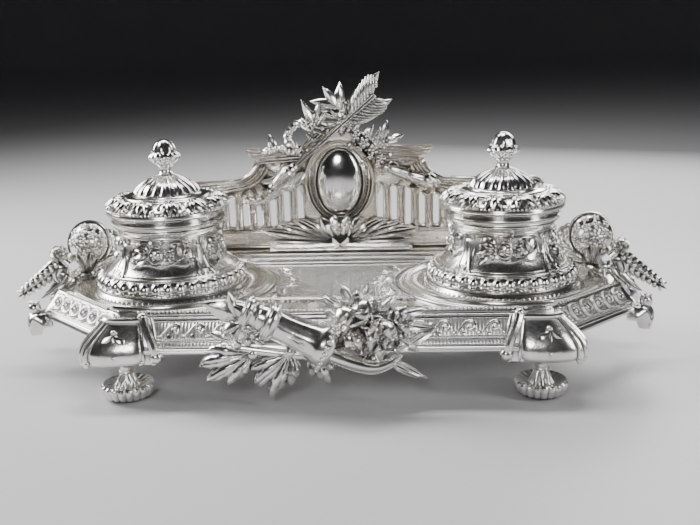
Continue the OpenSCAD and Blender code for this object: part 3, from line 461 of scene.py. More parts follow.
def copy_of(node: str) -> Mesh:
    """A merged copy of a construction node's mesh.

    Args:
        node: Name of the node.

    Returns:
        The copy, in millimetres.
    """
    bm = bmesh.new()
    bm.from_mesh(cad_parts[node].data)
    bmesh.ops.remove_doubles(bm, verts=bm.verts[:], dist=1e-6)
    bmesh.ops.transform(bm, matrix=size(1 / MM, 1 / MM, 1 / MM), verts=bm.verts[:])
    return bm


def blossom(radius: float, petals: int = 5, height: float = 1.0) -> Form:
    """A small open flower that faces +Z.

    Args:
        radius: Its radius.
        petals: Number of petals.
        height: Scale of their height.

    Returns:
        The flower.
    """
    form = Form()
    petal = bead(1, (radius * 0.46, radius * 0.36, radius * 0.3 * height))
    form.add(petal, *(turn(360 / petals * i, "Z") @ move(radius * 0.56, 0, radius * 0.14)
                      @ turn(-18, "Y") for i in range(petals)))
    return form.add(bead(radius * 0.26), move(0, 0, radius * 0.26 * height))


def rose(radius: float, rows: Sequence[tuple[int, float, float]] = ((6, 1.0, 0.0), (4, 0.7, 0.2),
                                                                    (3, 0.42, 0.36))) -> Form:
    """A full rose that faces +Z, its petals cupped round a bud.

    Args:
        radius: Its radius.
        rows: Each row's number of petals, reach and rise, as shares of the radius.

    Returns:
        The rose.
    """
    form = Form()
    for row, (count, reach, rise) in enumerate(rows):
        r = radius * reach
        path = smooth_path([(r * 0.1, 0, 0), (r * 0.55, 0, r * 0.1), (r * 0.92, 0, r * 0.34),
                            (r * 1.0, 0, r * 0.56), (r * 1.08, 0, r * 0.6)], 3)
        petal = swept(path, [0.16 * r, 0.42 * r, 0.6 * r, 0.62 * r, 0.4 * r, 0.1 * r],
                      [r * 0.26], HALF_ROUND)
        form.add(petal, *(turn(360 / count * (i + 0.5 * row), "Z") @ move(0, 0, radius * rise)
                          for i in range(count)))
    return form.add(bead(radius * 0.24, (1, 1, 1.5)), move(0, 0, radius * 0.72))


# ---------- finishes ----------


class Grain(Enum):
    """How a surface is worked."""

    POLISHED = "polished"
    CAST = "cast"
    STIPPLED = "stippled"
    HATCHED = "hatched"
    ENGRAVED = "engraved"
    BRUSHED = "brushed"


@dataclass(frozen=True)
class Surface:
    """What a piece is made of.

    Attributes:
        name: Name of the material.
        slot: The record's material slot; not used.
    """

    name: str
    slot: str

    def shader(self, net: "Net", place: Socket) -> bpy.types.Node:
        """Lays out the nodes of the surface.

        Args:
            net: The material's nodes.
            place: The coordinates that they follow.

        Returns:
            The surface's shader.
        """
        raise NotImplementedError

    def material(self) -> bpy.types.Material:
        """Builds the material, or finds it if it is there already."""
        made = bpy.data.materials.get(self.name)
        if not made:
            made = bpy.data.materials.new(self.name)
            made.use_nodes = True
            net = Net(made.node_tree)
            shader = self.shader(net, net.add("ShaderNodeTexCoord").outputs["Object"])
            output = net.add("ShaderNodeOutputMaterial")
            net.join(shader.outputs["BSDF"], output.inputs["Surface"])
        return made


@dataclass(frozen=True)
class Finish(Surface):
    """Silver plate: bright on its heights, with painted shade and dark tarnish in its hollows.

    Attributes:
        grain: How the surface is worked.
        tint: Colour of the bright metal.
        warm: Colour of its light tarnish.
        hollow: Colour of the painted shade and dark tarnish in its recesses.
        gloss: Roughness of the bright metal.
        reach: Width of the painted shade in the recesses, in millimetres.
        age: How strongly the painted shade and tarnish darken the recesses and the random patches,
            0 to 1.
        grain_size: Size of the working, in millimetres.
        grain_depth: Depth of the working, in millimetres.
        etch: How dark the working's own lines are, 0 to 1.
    """

    grain: Grain = Grain.CAST
    tint: Colour = (0.90, 0.89, 0.87, 1)
    warm: Colour = (0.72, 0.66, 0.57, 1)
    hollow: Colour = (0.035, 0.03, 0.026, 1)
    gloss: float = 0.16
    reach: float = 2.4
    age: float = 0.9
    grain_size: float = 1.6
    grain_depth: float = 0.12
    etch: float = 0.0

    def shader(self, net: "Net", place: Socket) -> bpy.types.Node:
        """Lays out the silver's nodes, as the base class says."""
        cloud = net.add("ShaderNodeTexNoise", Scale=45.0, Detail=4.0, Roughness=0.6)
        net.join(place, cloud.inputs["Vector"])
        smudge = net.add("ShaderNodeTexNoise", Scale=420.0, Detail=3.0, Roughness=0.7)
        net.join(place, smudge.inputs["Vector"])
        # Painted shade: the ambient occlusion node finds hollows and places between parts, and
        # darkens the colour there towards the hollow colour; this also stands for the dark tarnish
        # in them.
        shade = net.add("ShaderNodeAmbientOcclusion", Distance=self.reach * MM)
        shade.samples = 6
        open_share = net.ranged(shade.outputs["AO"], 0.16, 0.70, 1 - self.age, 1.0)
        patchy = net.maths("MULTIPLY_ADD", cloud.outputs["Fac"], 0.5 * self.age, -0.25 * self.age)
        height = self._worked(net, place)
        cut = net.ranged(height, 0.22, 0.6, 1 - self.etch, 1.0)
        bright = net.maths("MULTIPLY", net.maths("ADD", open_share, patchy, clamp=True), cut)
        tarnish = net.ranged(cloud.outputs["Fac"], 0.46, 0.72, 0.0, 0.6)
        metal = net.mixed(tarnish, self.tint, self.warm)
        colour = net.mixed(bright, self.hollow, metal)
        rough = net.ranged(bright, 0.0, 1.0, 0.5, self.gloss)
        rough = net.maths("MULTIPLY_ADD", smudge.outputs["Fac"], 0.12, rough)
        shader = net.add("ShaderNodeBsdfPrincipled", Metallic=1.0)
        net.join(colour, shader.inputs["Base Color"])
        net.join(rough, shader.inputs["Roughness"])
        bump = net.add("ShaderNodeBump", Strength=1.0, Distance=self.grain_depth * MM)
        net.join(height, bump.inputs["Height"])
        net.join(bump.outputs["Normal"], shader.inputs["Normal"])
        return shader

    def _worked(self, net: "Net", place: Socket) -> Socket:
        """Adds the pattern of the working.

        Args:
            net: The material's nodes.
            place: The coordinates that they follow.

        Returns:
            Its height, 0 to 1.
        """
        scale = 1 / (self.grain_size * MM)
        if self.grain is Grain.STIPPLED:
            node = net.add("ShaderNodeTexVoronoi", Scale=scale, Randomness=0.75)
            height = node.outputs["Distance"]
        elif self.grain in (Grain.HATCHED, Grain.ENGRAVED, Grain.BRUSHED):
            distortion, bands = {Grain.HATCHED: (0.0, "X"), Grain.ENGRAVED: (11.0, "Y"),
                                 Grain.BRUSHED: (1.0, "Z")}[self.grain]
            node = net.add("ShaderNodeTexWave", Scale=scale / 6.0, Distortion=distortion,
                           Detail=1.5)
            node.inputs["Detail Scale"].default_value = 3.5
            node.bands_direction = bands
            height = node.outputs["Fac"]
        else:
            node = net.add("ShaderNodeTexNoise", Scale=scale, Detail=2.5, Roughness=0.5)
            height = node.outputs["Fac"]
        net.join(place, node.inputs["Vector"])
        return height


@dataclass(frozen=True)
class Glass(Surface):
    """Clear pressed glass with a faint unevenness."""

    name: str = "pressed_glass"
    slot: str = "clear_glass"
    tint: Colour = (0.94, 0.98, 0.97, 1)
    ripple: float = 0.05

    def shader(self, net: "Net", place: Socket) -> bpy.types.Node:
        """Lays out the glass's nodes, as the base class says."""
        noise = net.add("ShaderNodeTexNoise", Scale=260.0, Detail=2.0)
        net.join(place, noise.inputs["Vector"])
        bump = net.add("ShaderNodeBump", Strength=0.6, Distance=self.ripple * MM)
        net.join(noise.outputs["Fac"], bump.inputs["Height"])
        shader = net.add("ShaderNodeBsdfPrincipled", IOR=1.5, Roughness=0.03)
        shader.inputs["Transmission Weight"].default_value = 1.0
        tinted = net.mixed(net.ranged(noise.outputs["Fac"], 0.3, 0.7, 0.0, 1.0), self.tint,
                           (1, 1, 1, 1))
        net.join(tinted, shader.inputs["Base Color"])
        net.join(bump.outputs["Normal"], shader.inputs["Normal"])
        return shader


class Net:
    """Short ways to lay out a material's nodes."""

    def __init__(self, tree: bpy.types.NodeTree) -> None:
        """Keeps the tree that the nodes go into, and empties it."""
        self.tree = tree
        tree.nodes.clear()

    def add(self, kind: str, **values: float) -> bpy.types.Node:
        """Adds a node and sets its plain inputs."""
        node = self.tree.nodes.new(kind)
        for name, value in values.items():
            node.inputs[name].default_value = value
        return node

    def join(self, a: Socket | float | Colour, b: Socket) -> None:
        """Links a socket to an input, or sets the input to a value."""
        if isinstance(a, Socket):
            self.tree.links.new(a, b)
        else:
            b.default_value = a

    def maths(self, kind: str, *values: Socket | float, clamp: bool = False) -> Socket:
        """Adds a maths node.

        Args:
            kind: What it does.
            values: The sockets or numbers that it works on.
            clamp: Whether its result stays within 0 and 1.

        Returns:
            Its result.
        """
        node = self.tree.nodes.new("ShaderNodeMath")
        node.operation = kind
        node.use_clamp = clamp
        for value, socket in zip(values, node.inputs):
            self.join(value, socket)
        return node.outputs[0]

    def ranged(self, value: Socket, low: float, high: float, start: float, end: float) -> Socket:
        """The value moved from the range low to high into the range start to end."""
        node = self.tree.nodes.new("ShaderNodeMapRange")
        for given, socket in zip((value, low, high, start, end), node.inputs):
            self.join(given, socket)
        return node.outputs[0]

    def mixed(self, share: Socket, a: Socket | Colour, b: Socket | Colour) -> Socket:
        """Adds a mix of two colours.

        Args:
            share: Share of the second one.
            a: The first colour.
            b: The second colour.

        Returns:
            The mixed colour.
        """
        node = self.tree.nodes.new("ShaderNodeMix")
        node.data_type = "RGBA"
        self.join(share, node.inputs[0])
        self.join(a, node.inputs[MIX_A])
        self.join(b, node.inputs[MIX_B])
        return node.outputs[2]


STAND = Finish("stand_plate", "silver_stand", gloss=0.15, grain_size=5, grain_depth=0.05)
STIPPLE = Finish("stippled_ground", "silver_stand", Grain.STIPPLED, gloss=0.26, grain_size=0.9,
                 grain_depth=0.22, age=0.95, etch=0.45)
HATCH = Finish("hatched_ground", "silver_stand", Grain.HATCHED, gloss=0.24, grain_size=0.85,
               grain_depth=0.2, age=0.9, etch=0.5)
ENGRAVING = Finish("engraved_panel", "silver_stand", Grain.ENGRAVED, gloss=0.16, grain_size=0.62,
                   grain_depth=0.16, age=0.6, etch=0.85)
# Painted shade: the gallery's tint and warm colour are darker and browner than the other silver's,
# for the shadow that it stands in, and its recesses are darkened fully.
SHADED_GALLERY = Finish("shaded_gallery_plate", "silver_gallery", tint=(0.78, 0.74, 0.68, 1),
                 warm=(0.52, 0.43, 0.33, 1), gloss=0.18, reach=3.2, age=1.0, grain_size=2.2,
                 grain_depth=0.12)
CASTING = Finish("casting_plate", "silver_castings", gloss=0.15, reach=2.6, age=0.85,
                 grain_size=2.4, grain_depth=0.12)
VESSEL = Finish("vessel_plate", "silver_vessels", gloss=0.12, grain_size=6, grain_depth=0.05)
CHASED = Finish("chased_plate", "silver_vessels", Grain.CAST, gloss=0.15, reach=2.0, grain_size=1.2,
                grain_depth=0.08, age=1.0, etch=0.2)
MIRROR = Finish("bright_mirror", "silver_mirror", Grain.POLISHED, tint=(0.95, 0.94, 0.92, 1),
                gloss=0.06, age=0.5, grain_size=9, grain_depth=0.05)
STEEL = Finish("brushed_steel", "steel_fixings", Grain.BRUSHED, tint=(0.6, 0.6, 0.6, 1),
               warm=(0.5, 0.47, 0.43, 1), gloss=0.3, grain_size=0.6, grain_depth=0.03, age=0.5)
GLASS = Glass()


# ---------- stand ----------

FOOT_TOP = 19.5
# A corner block's sections: height, half width, shift across and reach to the front.
BLOCK_PLATE = (
    (FOOT_TOP + 0.05, 19.4, 0.2, 10.4), (25, 19.4, 0.2, 10.4), (30.5, 16, -1.8, 8),
    (36.5, 11.4, -4.4, 4), (39.8, 10, -4.6, 2.6)
)
BLOCK_FACE = (
    (FOOT_TOP, 14, 3.3, 12.2), (FOOT_TOP + 0.7, 14.8, 3.4, 13), (22.2, 15.3, 3.4, 13.6),
    (24.6, 15.2, 3.3, 13.6), (26.8, 14.7, 3, 13), (28.8, 14, 2.5, 12.1),
    (30.8, 13, 1.9, 10.9), (32.8, 11.9, 1.2, 9.5), (34.8, 10.7, 0.4, 8), (36.6, 9.6, -0.3, 6.6),
    (38.3, 8.7, -0.9, 5.4)
)
BLOCK_CAP = (
    (38.2, 9.2, -1, 5.6), (38.6, 10, -1, 6.6), (39.5, 10, -1, 6.6),
    (40.3, 9.3, -1, 5.9)
)
# Its plan, as shares of the half width and the reach.
BLOCK_PLAN = [
    (-0.99, -0.7, 0), (-1, 0.2, 0), (-0.98, 0.72, 0), (-0.82, 0.93, 0), (-0.4, 1, 0),
    (0.1, 1.02, 0), (0.55, 0.93, 0), (0.86, 0.68, 0), (0.99, 0.3, 0), (0.95, -0.7, 0)
]
BLOCK_BAR = [
    (-17.2, -10.6, 23.6), (-16.2, -10.9, 28), (-14.2, -9.4, 33), (-11.8, -6.6, 38),
    (-11, -4.6, 40.6)
]
# Radius and rise over the deck of the channel round a well.
CHANNEL_PROFILE = [
    (41.3, -1.1), (41.3, 0.1), (42.6, -0.1), (44.6, 0.15), (46.4, 0.7), (47.6, 1.3), (48.2, 1.3),
    (48.5, 0.7), (48.5, -1.1), (41.3, -1.1)
]
# Radius and height of a foot.
FOOT_PROFILE = [
    (0, 0), (6.4, 0), (9.2, 0.5), (11.2, 1.8), (12.4, 3.6), (12.8, 5.4), (12.5, 6.9), (11.6, 7.6),
    (10.2, 7.2), (8, 6.3), (6.2, 6.2), (5.5, 7), (4.9, 8.8), (3.9, 10.9), (3.1, 12.1),
    (3.7, 12.5), (3.9, 13.1), (3.6, 13.7), (3, 14.2), (3, 15.4), (3.5, 16.8), (4.5, 18),
    (5.9, 18.8), (6.2, 19.45), (0, 19.45)
]
# Radius and height of a frieze's disc.
DISC_PROFILE = [
    (0, 0.9), (2.2, 0.95), (3.1, 1.45), (3.8, 1.5), (4.4, 1.15), (4.7, 0.4), (4.7, -0.3), (0, -0.3)
]


@dataclass
class Slope:
    """One sloping side of the stand, as a flat ground for ornament.

    Attributes:
        start: Plan of its upper edge's first end.
        end: Plan of the other end; outside is to its right.
        top: Height of the upper edge.
        out: How far it slopes out.
        drop: How far it falls.
    """

    start: Point
    end: Point
    top: float
    out: float
    drop: float

    def __post_init__(self) -> None:
        """Works out its axes."""
        a, b = Vector((*self.start, self.top)), Vector((*self.end, self.top))
        self.length = (b - a).length
        self.fall = math.hypot(self.out, self.drop)
        along = (b - a).normalized()
        outward = along.cross(Vector((0, 0, 1)))
        rise = (Vector((0, 0, self.drop)) - outward * self.out) / self.fall
        face = along.cross(rise)
        axes = Matrix((along, rise, face)).transposed().to_4x4()
        self.place = Matrix.Translation(a) @ axes

    def at(self, x: float, y: float, degrees: float = 0.0, lift: float = 0.0) -> Matrix:
        """A place x along it and y down it, turned in its plane."""
        return self.place @ move(x, -y, lift) @ turn(degrees, "Z")

    def line(self, y: float, start: float, end: float, lift: float = 0.0) -> list[Vector]:
        """A straight path along it, y down from its upper edge."""
        return [self.place @ Vector((x, -y, lift)) for x in (start, end)]


@dataclass
class Stand:
    """The eight-sided stand: deck, friezes, corner blocks and feet."""

    half: float = 142.0
    front: float = 48.5
    rear: float = 60.5
    cut: float = 42.5
    deck: float = 40.5
    side_out: float = 7.4
    side_drop: float = 10.0
    front_out: float = 11.0
    front_drop: float = 14.0
    foot_x: float = 97.0
    mid_y: float = 6.0
    foot_y: float = 56.0
    foot_h: float = FOOT_TOP
    well_x: float = 84.0

    def corners(self, out: float = 0.0) -> list[tuple[float, float]]:
        """The stand's corners, counter-clockwise from the front right one.

        Args:
            out: Distance outside the deck's edge.

        Returns:
            Eight points of the plan.
        """
        w, f, b = self.half + out, -self.front - out, self.rear + out
        c = self.cut + (2 - math.sqrt(2)) * out
        return [(w - c, f), (w, f + c), (w, b - c), (w - c, b), (c - w, b), (-w, b - c),
                (-w, f + c), (c - w, f)]

    def slopes(self) -> dict[str, list[Slope]]:
        """The friezes: front and rear, the four canted ones, and the two ends."""
        c = self.corners()
        pairs = list(zip(c, c[1:] + c[:1]))
        deep = [Slope(*pairs[i], self.deck, self.front_out, self.front_drop) for i in (7, 3)]
        canted = [Slope(*pairs[i], self.deck, self.side_out, self.side_drop) for i in (0, 2, 4, 6)]
        ends = [Slope(*pairs[i], self.deck, self.side_out, self.side_drop) for i in (1, 5)]
        return {"deep": deep, "canted": canted, "ends": ends}

    def reach(self, y: float, radius: float) -> float:
        """How far a line at depth y runs from the middle before it meets a round about a well."""
        return self.well_x - math.sqrt(max(0, radius ** 2 - y * y))

    def build(self) -> None:
        """Builds and dresses every piece of the stand."""
        self.build_deck_edge()
        self.build_front_friezes()
        self.build_canted_friezes()
        self.build_centre()
        self.build_steps()
        self.build_wells()
        self.build_blocks()
        self.build_side_blocks()
        self.build_feet()

    def build_deck_edge(self) -> None:
        """The row of beads, cove and fillet along the edge of the deck, and the lips below."""
        beads, mouldings, lips = Form(), Form(), Form()
        groups = self.slopes()
        for group, slopes in groups.items():
            for slope in slopes:
                inset = 9.0 if group != "ends" else 0.0
                count = round((slope.length - 2 * inset) / 1.95)
                step = (slope.length - 2 * inset) / count
                places = [slope.at(inset + step * (i + 0.5), -0.5, 0, 0.35) for i in range(count)]
                beads.add(bead(0.88, (1, 1, 0.9)), *places)
                for y, w, h in ((0.9, 0.45, 0.5), (1.5 if group != "deep" else 2.6, 0.9, 0.7)):
                    mouldings.add(strap(slope.line(y, 0, slope.length), w, h))
                end = 4.0 if group == "deep" else -0.6
                foot = slope.line(slope.fall - 0.9, end, slope.length - end)
                mouldings.add(strap(foot, 0.7, 0.6))
        lip_r = 1.65
        ring = [Vector((x, y, 28.9)) for x, y in self.corners(self.side_out + 0.2)]
        for a, b in ((0, 1), (1, 2), (2, 3), (4, 5), (5, 6), (6, 7)):
            lips.add(wire([ring[a], ring[b]], lip_r))
        for corner in (1, 2, 5, 6):
            lips.add(bead(lip_r, fine=True), Matrix.Translation(ring[corner]))
        for sy, edge in ((-1, self.front), (1, self.rear)):
            y = sy * (edge + self.front_out + 0.3)
            lips.add(wire([(-self.foot_x, y, 25.6), (self.foot_x, y, 25.6)], 1.0))
        beads.piece("deck_edge_beads", STAND, "stand")
        mouldings.piece("deck_edge_mouldings", STAND, "stand")
        lips.piece("lower_lips", STAND, "stand")

    def build_front_friezes(self) -> None:
        """The front and rear friezes: a hatched ground, running waves and beaded lines."""
        ground, waves, lines = Form(), Form(), Form()
        pitch, mid = 11.3, 8.6
        for slope in self.slopes()["deep"]:
            ground.add(slab(slope.length - 22, 8.2, 0.3), slope.at(slope.length / 2, mid))
            count = int((slope.length - 30) / pitch)
            first = (slope.length - count * pitch) / 2
            curl = [p + Vector((2.0, 0.4, 0)) for p in spiral(3.1, -1.35, 150)]
            run = [Vector((-6.6, -3.0, 0)), Vector((-4.6, -2.6, 0)), Vector((-2.6, -0.6, 0))]
            wave = Form().add(swept(smooth_path(run + curl, 2), [0.5, 0.95, 0.85, 0.7, 0.35],
                                    [0.6, 1.0, 0.8, 0.6], HALF_ROUND))
            wave.add(bead(0.95, (1, 1, 0.8), True), move(2.0, 0.4, 0.25))
            wave.add(leaf(3.6, 1.9, 0.7, 30), move(-1.6, -1.6, 0.1) @ turn(-70, "Z"))
            wave.add(leaf(3.0, 1.5, 0.6, -20), move(4.6, -2.3, 0.1) @ turn(8, "Z"))
            waves.merge(wave, *(slope.at(first + pitch * (i + 0.5), mid, 0, 0.15)
                                for i in range(count)))
            beads = round((slope.length - 24) / 1.25)
            lines.add(bead(0.48), *(slope.at(12 + (i + 0.5) * (slope.length - 24) / beads, 13.5)
                                    for i in range(beads)))
            for y in (4.4, 12.8, 14.3):
                lines.add(strap(slope.line(y, 6, slope.length - 6), 0.55, 0.5))
            ground.add(slab(slope.length - 20, 2.2, 0.4), slope.at(slope.length / 2, 15.9))
        ground.piece("front_frieze_grounds", HATCH, "stand")
        waves.piece("front_frieze_waves", CASTING, "stand")
        lines.piece("front_frieze_lines", STAND, "stand")

    def build_canted_friezes(self) -> None:
        """The canted and end friezes: a chain of bossed rings on a stippled ground."""
        ground, rings, bosses, lines = Form(), Form(), Form(), Form()
        slopes = self.slopes()
        for slope in slopes["canted"] + slopes["ends"]:
            short = slope in slopes["ends"]
            ends = 1.5 if short else 3.0
            ground.add(slab(slope.length - ends, 8.6, 0.3), slope.at(slope.length / 2, 5.9))
            ground.add(slab(slope.length - ends, 1.3, 0.5), slope.at(slope.length / 2, 11.0))
            count = 2 if short else 6
            pitch = 9.1
            first = slope.length / 2 - (count - 1) / 2 * pitch
            disc = turned(DISC_PROFILE, 40)
            rings.add(disc, *(slope.at(first + pitch * i, 5.72, 0, 0.05) @ turn(5, "Y")
                              for i in range(count)))
            boss = Form().add(closed_ring(1.95, 0.85, 2.1, 28))
            boss.add(bead(1.0, (1, 1, 0.9), True), move(0, 0, 1.2))
            bosses.merge(boss, *(slope.at(first + pitch * i, 5.72, 0, 0.05) for i in range(count)))
            lines.add(strap(slope.line(10.2, 0.6, slope.length - 0.6), 0.5, 0.8))
            dots = round(slope.length / 1.1)
            lines.add(bead(0.36), *(slope.at((i + 0.5) * slope.length / dots, 11.0, 0, 0.2)
                                    for i in range(dots)))
        ground.piece("side_frieze_grounds", STIPPLE, "stand")
        rings.piece("side_frieze_rings", STIPPLE, "stand")
        bosses.piece("side_frieze_bosses", CASTING, "stand")
        lines.piece("side_frieze_lines", STAND, "stand")

    def build_centre(self) -> None:
        """The engraved centre panel's scrolled borders."""
        scrolls, lines = Form(), Form()
        top = self.deck + 0.75
        for y, s in ((-29.4, 1), (36.4, -1)):
            reach = self.reach(y, 53.5) - 1
            for d, w in ((0, 0.8), (1.6, 0.45)):
                lines.add(strap([(-reach, y + s * d, top), (reach, y + s * d, top)], w, 0.45))
        for side in SIDES:
            for r, w in ((54.6, 0.8), (56.2, 0.4)):
                arc = [Vector((side * (self.well_x - r * math.cos(math.radians(a))),
                               r * math.sin(math.radians(a)), top)) for a in range(-30, 42, 3)]
                lines.add(strap(arc, w, 0.5))
            for i, a in enumerate(range(-26, 40, 11)):
                place = mirrored(side) @ move(self.well_x, 0, top)
                place = place @ turn(180 - a, "Z") @ move(60, 0, 0)
                curl = Form().add(swept([p + Vector((1.5, 0, 0)) for p in spiral(3.3, 1.3, -120)],
                                        [0.35, 0.7, 0.5], [0.3, 0.55, 0.4], HALF_ROUND))
                for d, w in ((60, 5.5), (95, 6.5), (130, 5.0), (25, 4.4)):
                    curl.add(leaf(w, 2.1, 0.5, 25), turn(d, "Z") @ move(1.6, 0, 0))
                scrolls.merge(curl, place @ size(1, 1 if i % 2 else -1, 1))
        lines.piece("centre_panel_fillets", STAND, "stand")
        scrolls.piece("centre_panel_scrolls", CASTING, "stand")

    def build_steps(self) -> None:
        """Reeds along the edges of the rear steps."""
        reeds = Form()
        for i in range(3):
            y, z = 39 + 4 * i, self.deck + 1.5 * (i + 1)
            inner = self.reach(y, 53.6)
            for d, h in ((0.7, 0.0), (2.2, -0.1), (3.4, -0.15)):
                reeds.add(wire([(-inner, y + d, z + h - 0.25), (inner, y + d, z + h - 0.25)], 0.55))
        reeds.piece("rear_step_reeds", STAND, "stand")

    def build_wells(self) -> None:
        """The wells: fine reeds on the lip, a polished channel and a fluted socket."""
        for name, side in ENDS:
            axis = move(side * self.well_x, 0, 0)
            nodes = [f"well_{name}", f"well_ring_{name}"]
            form = Form().add(copy_of(nodes[0])).add(copy_of(nodes[1]))
            flute = swept([(0, 0, 36.2), (0, 0, 37.2), (0, 0, 41.6), (0, 0, 42.4)],
                          [0.5, 1.15, 1.15, 0.5], [0.2, 0.75, 0.75, 0.2], ROUND, (1, 0, 0))
            flutes = 84
            form.add(flute, *(axis @ turn(360 / flutes * i, "Z") @ move(38.2, 0, 0)
                              for i in range(flutes)))
            form.piece(f"well_{name}_reeded", STAND, "stand", nodes, 30)
            top = self.deck + 1.5
            band = turned([(r, top + rise) for r, rise in CHANNEL_PROFILE], 144)
            for far, across in ((self.front, FRONT), (44.9, (side, -1, 0))):
                geom = band.verts[:] + band.edges[:] + band.faces[:]
                way = Vector(across).normalized()
                bmesh.ops.bisect_plane(band, geom=geom, plane_co=way * far, plane_no=way,
                                       clear_outer=True)
                bmesh.ops.holes_fill(band, edges=[e for e in band.edges if e.is_boundary])
            Form().add(outward(band), axis).piece(f"well_{name}_channel", VESSEL, "stand")

    def build_blocks(self) -> None:
        """The corner blocks: a bulging face between two sets of ribs, over a plain rim."""
        plan = [(p.x, p.y) for p in smooth_path(BLOCK_PLAN, 3)]
        for name, sx, sy in CORNERS:
            place = move(sx * self.foot_x, self.mid_y + sy * self.foot_y, 0) @ size(sx, -sy, 1)
            body = Form()
            for rows in (BLOCK_PLATE, BLOCK_FACE, BLOCK_CAP):
                zs, widths, shifts, reaches = zip(*rows)
                part = Form().add(swept([(0, 0, z) for z in zs], widths, reaches, plan, FRONT))
                for z, shift in zip(zs, shifts):
                    for v in (v for v in part.bm.verts if abs(v.co.z - z) < 0.01):
                        v.co.x += shift
                body.merge(part)
            for a, b, w in ((-0.97, 0.8, 0.7), (0.8, 0.84, 1.2), (0.98, 0.56, 1.2),
                            (1.07, 0.2, 1.2)):
                path = [(c + a * w1, -b * f, z) for z, w1, c, f in BLOCK_FACE[1:]]
                body.add(wire(smooth_path(path, 2), [w * 1.1, w, w * 0.9, w * 0.8], (0, -1, 0.3)))
                body.add(bead(w * 1.3, (1, 1, 1.3), True), move(*path[0]))
            bar = smooth_path(BLOCK_BAR, 4)
            body.add(wire(bar, [2.0, 2.1, 1.9, 2.0], (0, -1, 0.3)))
            body.add(bead(3.1, (1, 0.9, 1), True), move(-17.4, -10.4, 22.9))
            body.add(bead(2.4, (1, 0.9, 1), True), move(-11.0, -4.6, 40.4))
            body.add(bead(1.5, (1, 0.9, 1), True), move(-16.2, -9.6, 20.2),
                     move(-10.4, -10.6, 20.6))
            self.add_bellflower(body)
            form = Form().merge(body, place)
            form.dressed(f"block_{name}", "dressed", CASTING, crease=34)

    @staticmethod
    def add_bellflower(body: Form) -> None:
        """Hangs a flower with two drooping leaves on a corner block's face.

        Args:
            body: The block that it hangs on.
        """
        def on_face(x: float, z: float, a: float) -> Matrix:
            """A place on the bulging face."""
            return upright(x, -13.4 + 0.044 * max(0, z - 24.5) ** 2, z, a) @ turn(-16, "X")

        body.add(leaf(9.4, 3.4, 1.9, 0, 0.5, blunt=True, outline=KEELED), on_face(1.8, 33.4, -90))
        for s in SIDES:
            body.add(leaf(6.6, 3.2, 1.5, s * 30, 0.5, blunt=True, outline=KEELED),
                     on_face(1.8 + s * 0.6, 33.6, -90 + s * 40))
        body.add(bead(1.5, (1, 0.9, 1), True), on_face(1.8, 34.6, 0))
        body.add(bead(1.0, (1, 1.5, 1), True), on_face(1.8, 23.6, 0))

    def build_side_blocks(self) -> None:
        """The scrolled side blocks, each with a ball and reeds down its face."""
        for name, sx, sy in CORNERS:
            form = Form().add(copy_of(f"side_block_{name}"))
            corner = (153.0, sy * (self.mid_y + 6.0) + self.mid_y + sy * 4.5)
            place = mirrored(sx) @ move(*corner, self.foot_h) @ turn(sy * 22.5, "Z")
            h = 30 - self.foot_h
            face = [(0.4, h + 0.1), (3.0, h - 1.6), (4.4, h - 5), (3.9, h - 8),
                    (4.0, 2.6), (3.7, 0.6)]
            for y in (-3.2, -1.1, 1.1, 3.2):
                reed = smooth_path([(x, y, z) for x, z in face], 4)
                form.add(wire(reed, [0.7, 0.85, 0.85, 0.6]), place)
            form.merge(blossom(3.0, 6), place @ move(1.0, 0, h + 5.2))
            form.dressed(f"side_block_{name}", "dressed", CASTING, crease=30)

    def build_feet(self) -> None:
        """The turned feet: a fluted bowl, a ribbed cone, a knop and a flared neck."""
        for name, sx, sy in CORNERS:
            shape = rippled(turned(FOOT_PROFILE, 160), 20, 1.3, 0.3, 7.9)
            shape = rippled(shape, 8, 1.0, 7.9, 12.2)
            form = Form().add(shape, move(sx * self.foot_x, self.mid_y + sy * self.foot_y, 0))
            form.dressed(f"foot_{name}", "turned", CASTING)


# ---------- gallery ----------

# x and z.
CORNICE = [(20.6, 104), (36, 103.2), (44, 102.6), (48.6, 103), (51.4, 103.3)]
# Share across the oval frame, and how far it stands proud there.
FRAME_SECTION = [
    (0, 0), (0, 1.6), (0.05, 2.3), (0.12, 2.5), (0.18, 2.2), (0.22, 1.3), (0.36, 1.1),
    (0.44, 1.6), (0.50, 3.2), (0.56, 3.6), (0.63, 3.2), (0.66, 2.6), (0.72, 3.2), (0.80, 3.9),
    (0.88, 3.7), (0.95, 2.9), (0.985, 1.6), (0.985, 0)
]
# x, z, direction, length and width.
PALM_LEAVES = (
    (4, 51.6, 47, 15.5, 7), (5, 51.4, 30, 24, 8), (5.5, 51.2, 18, 32, 8),
    (6, 50.8, 10, 39, 7.6), (6, 50.2, 3, 35, 6.4), (21, 55.6, 24, 12.5, 5.6)
)


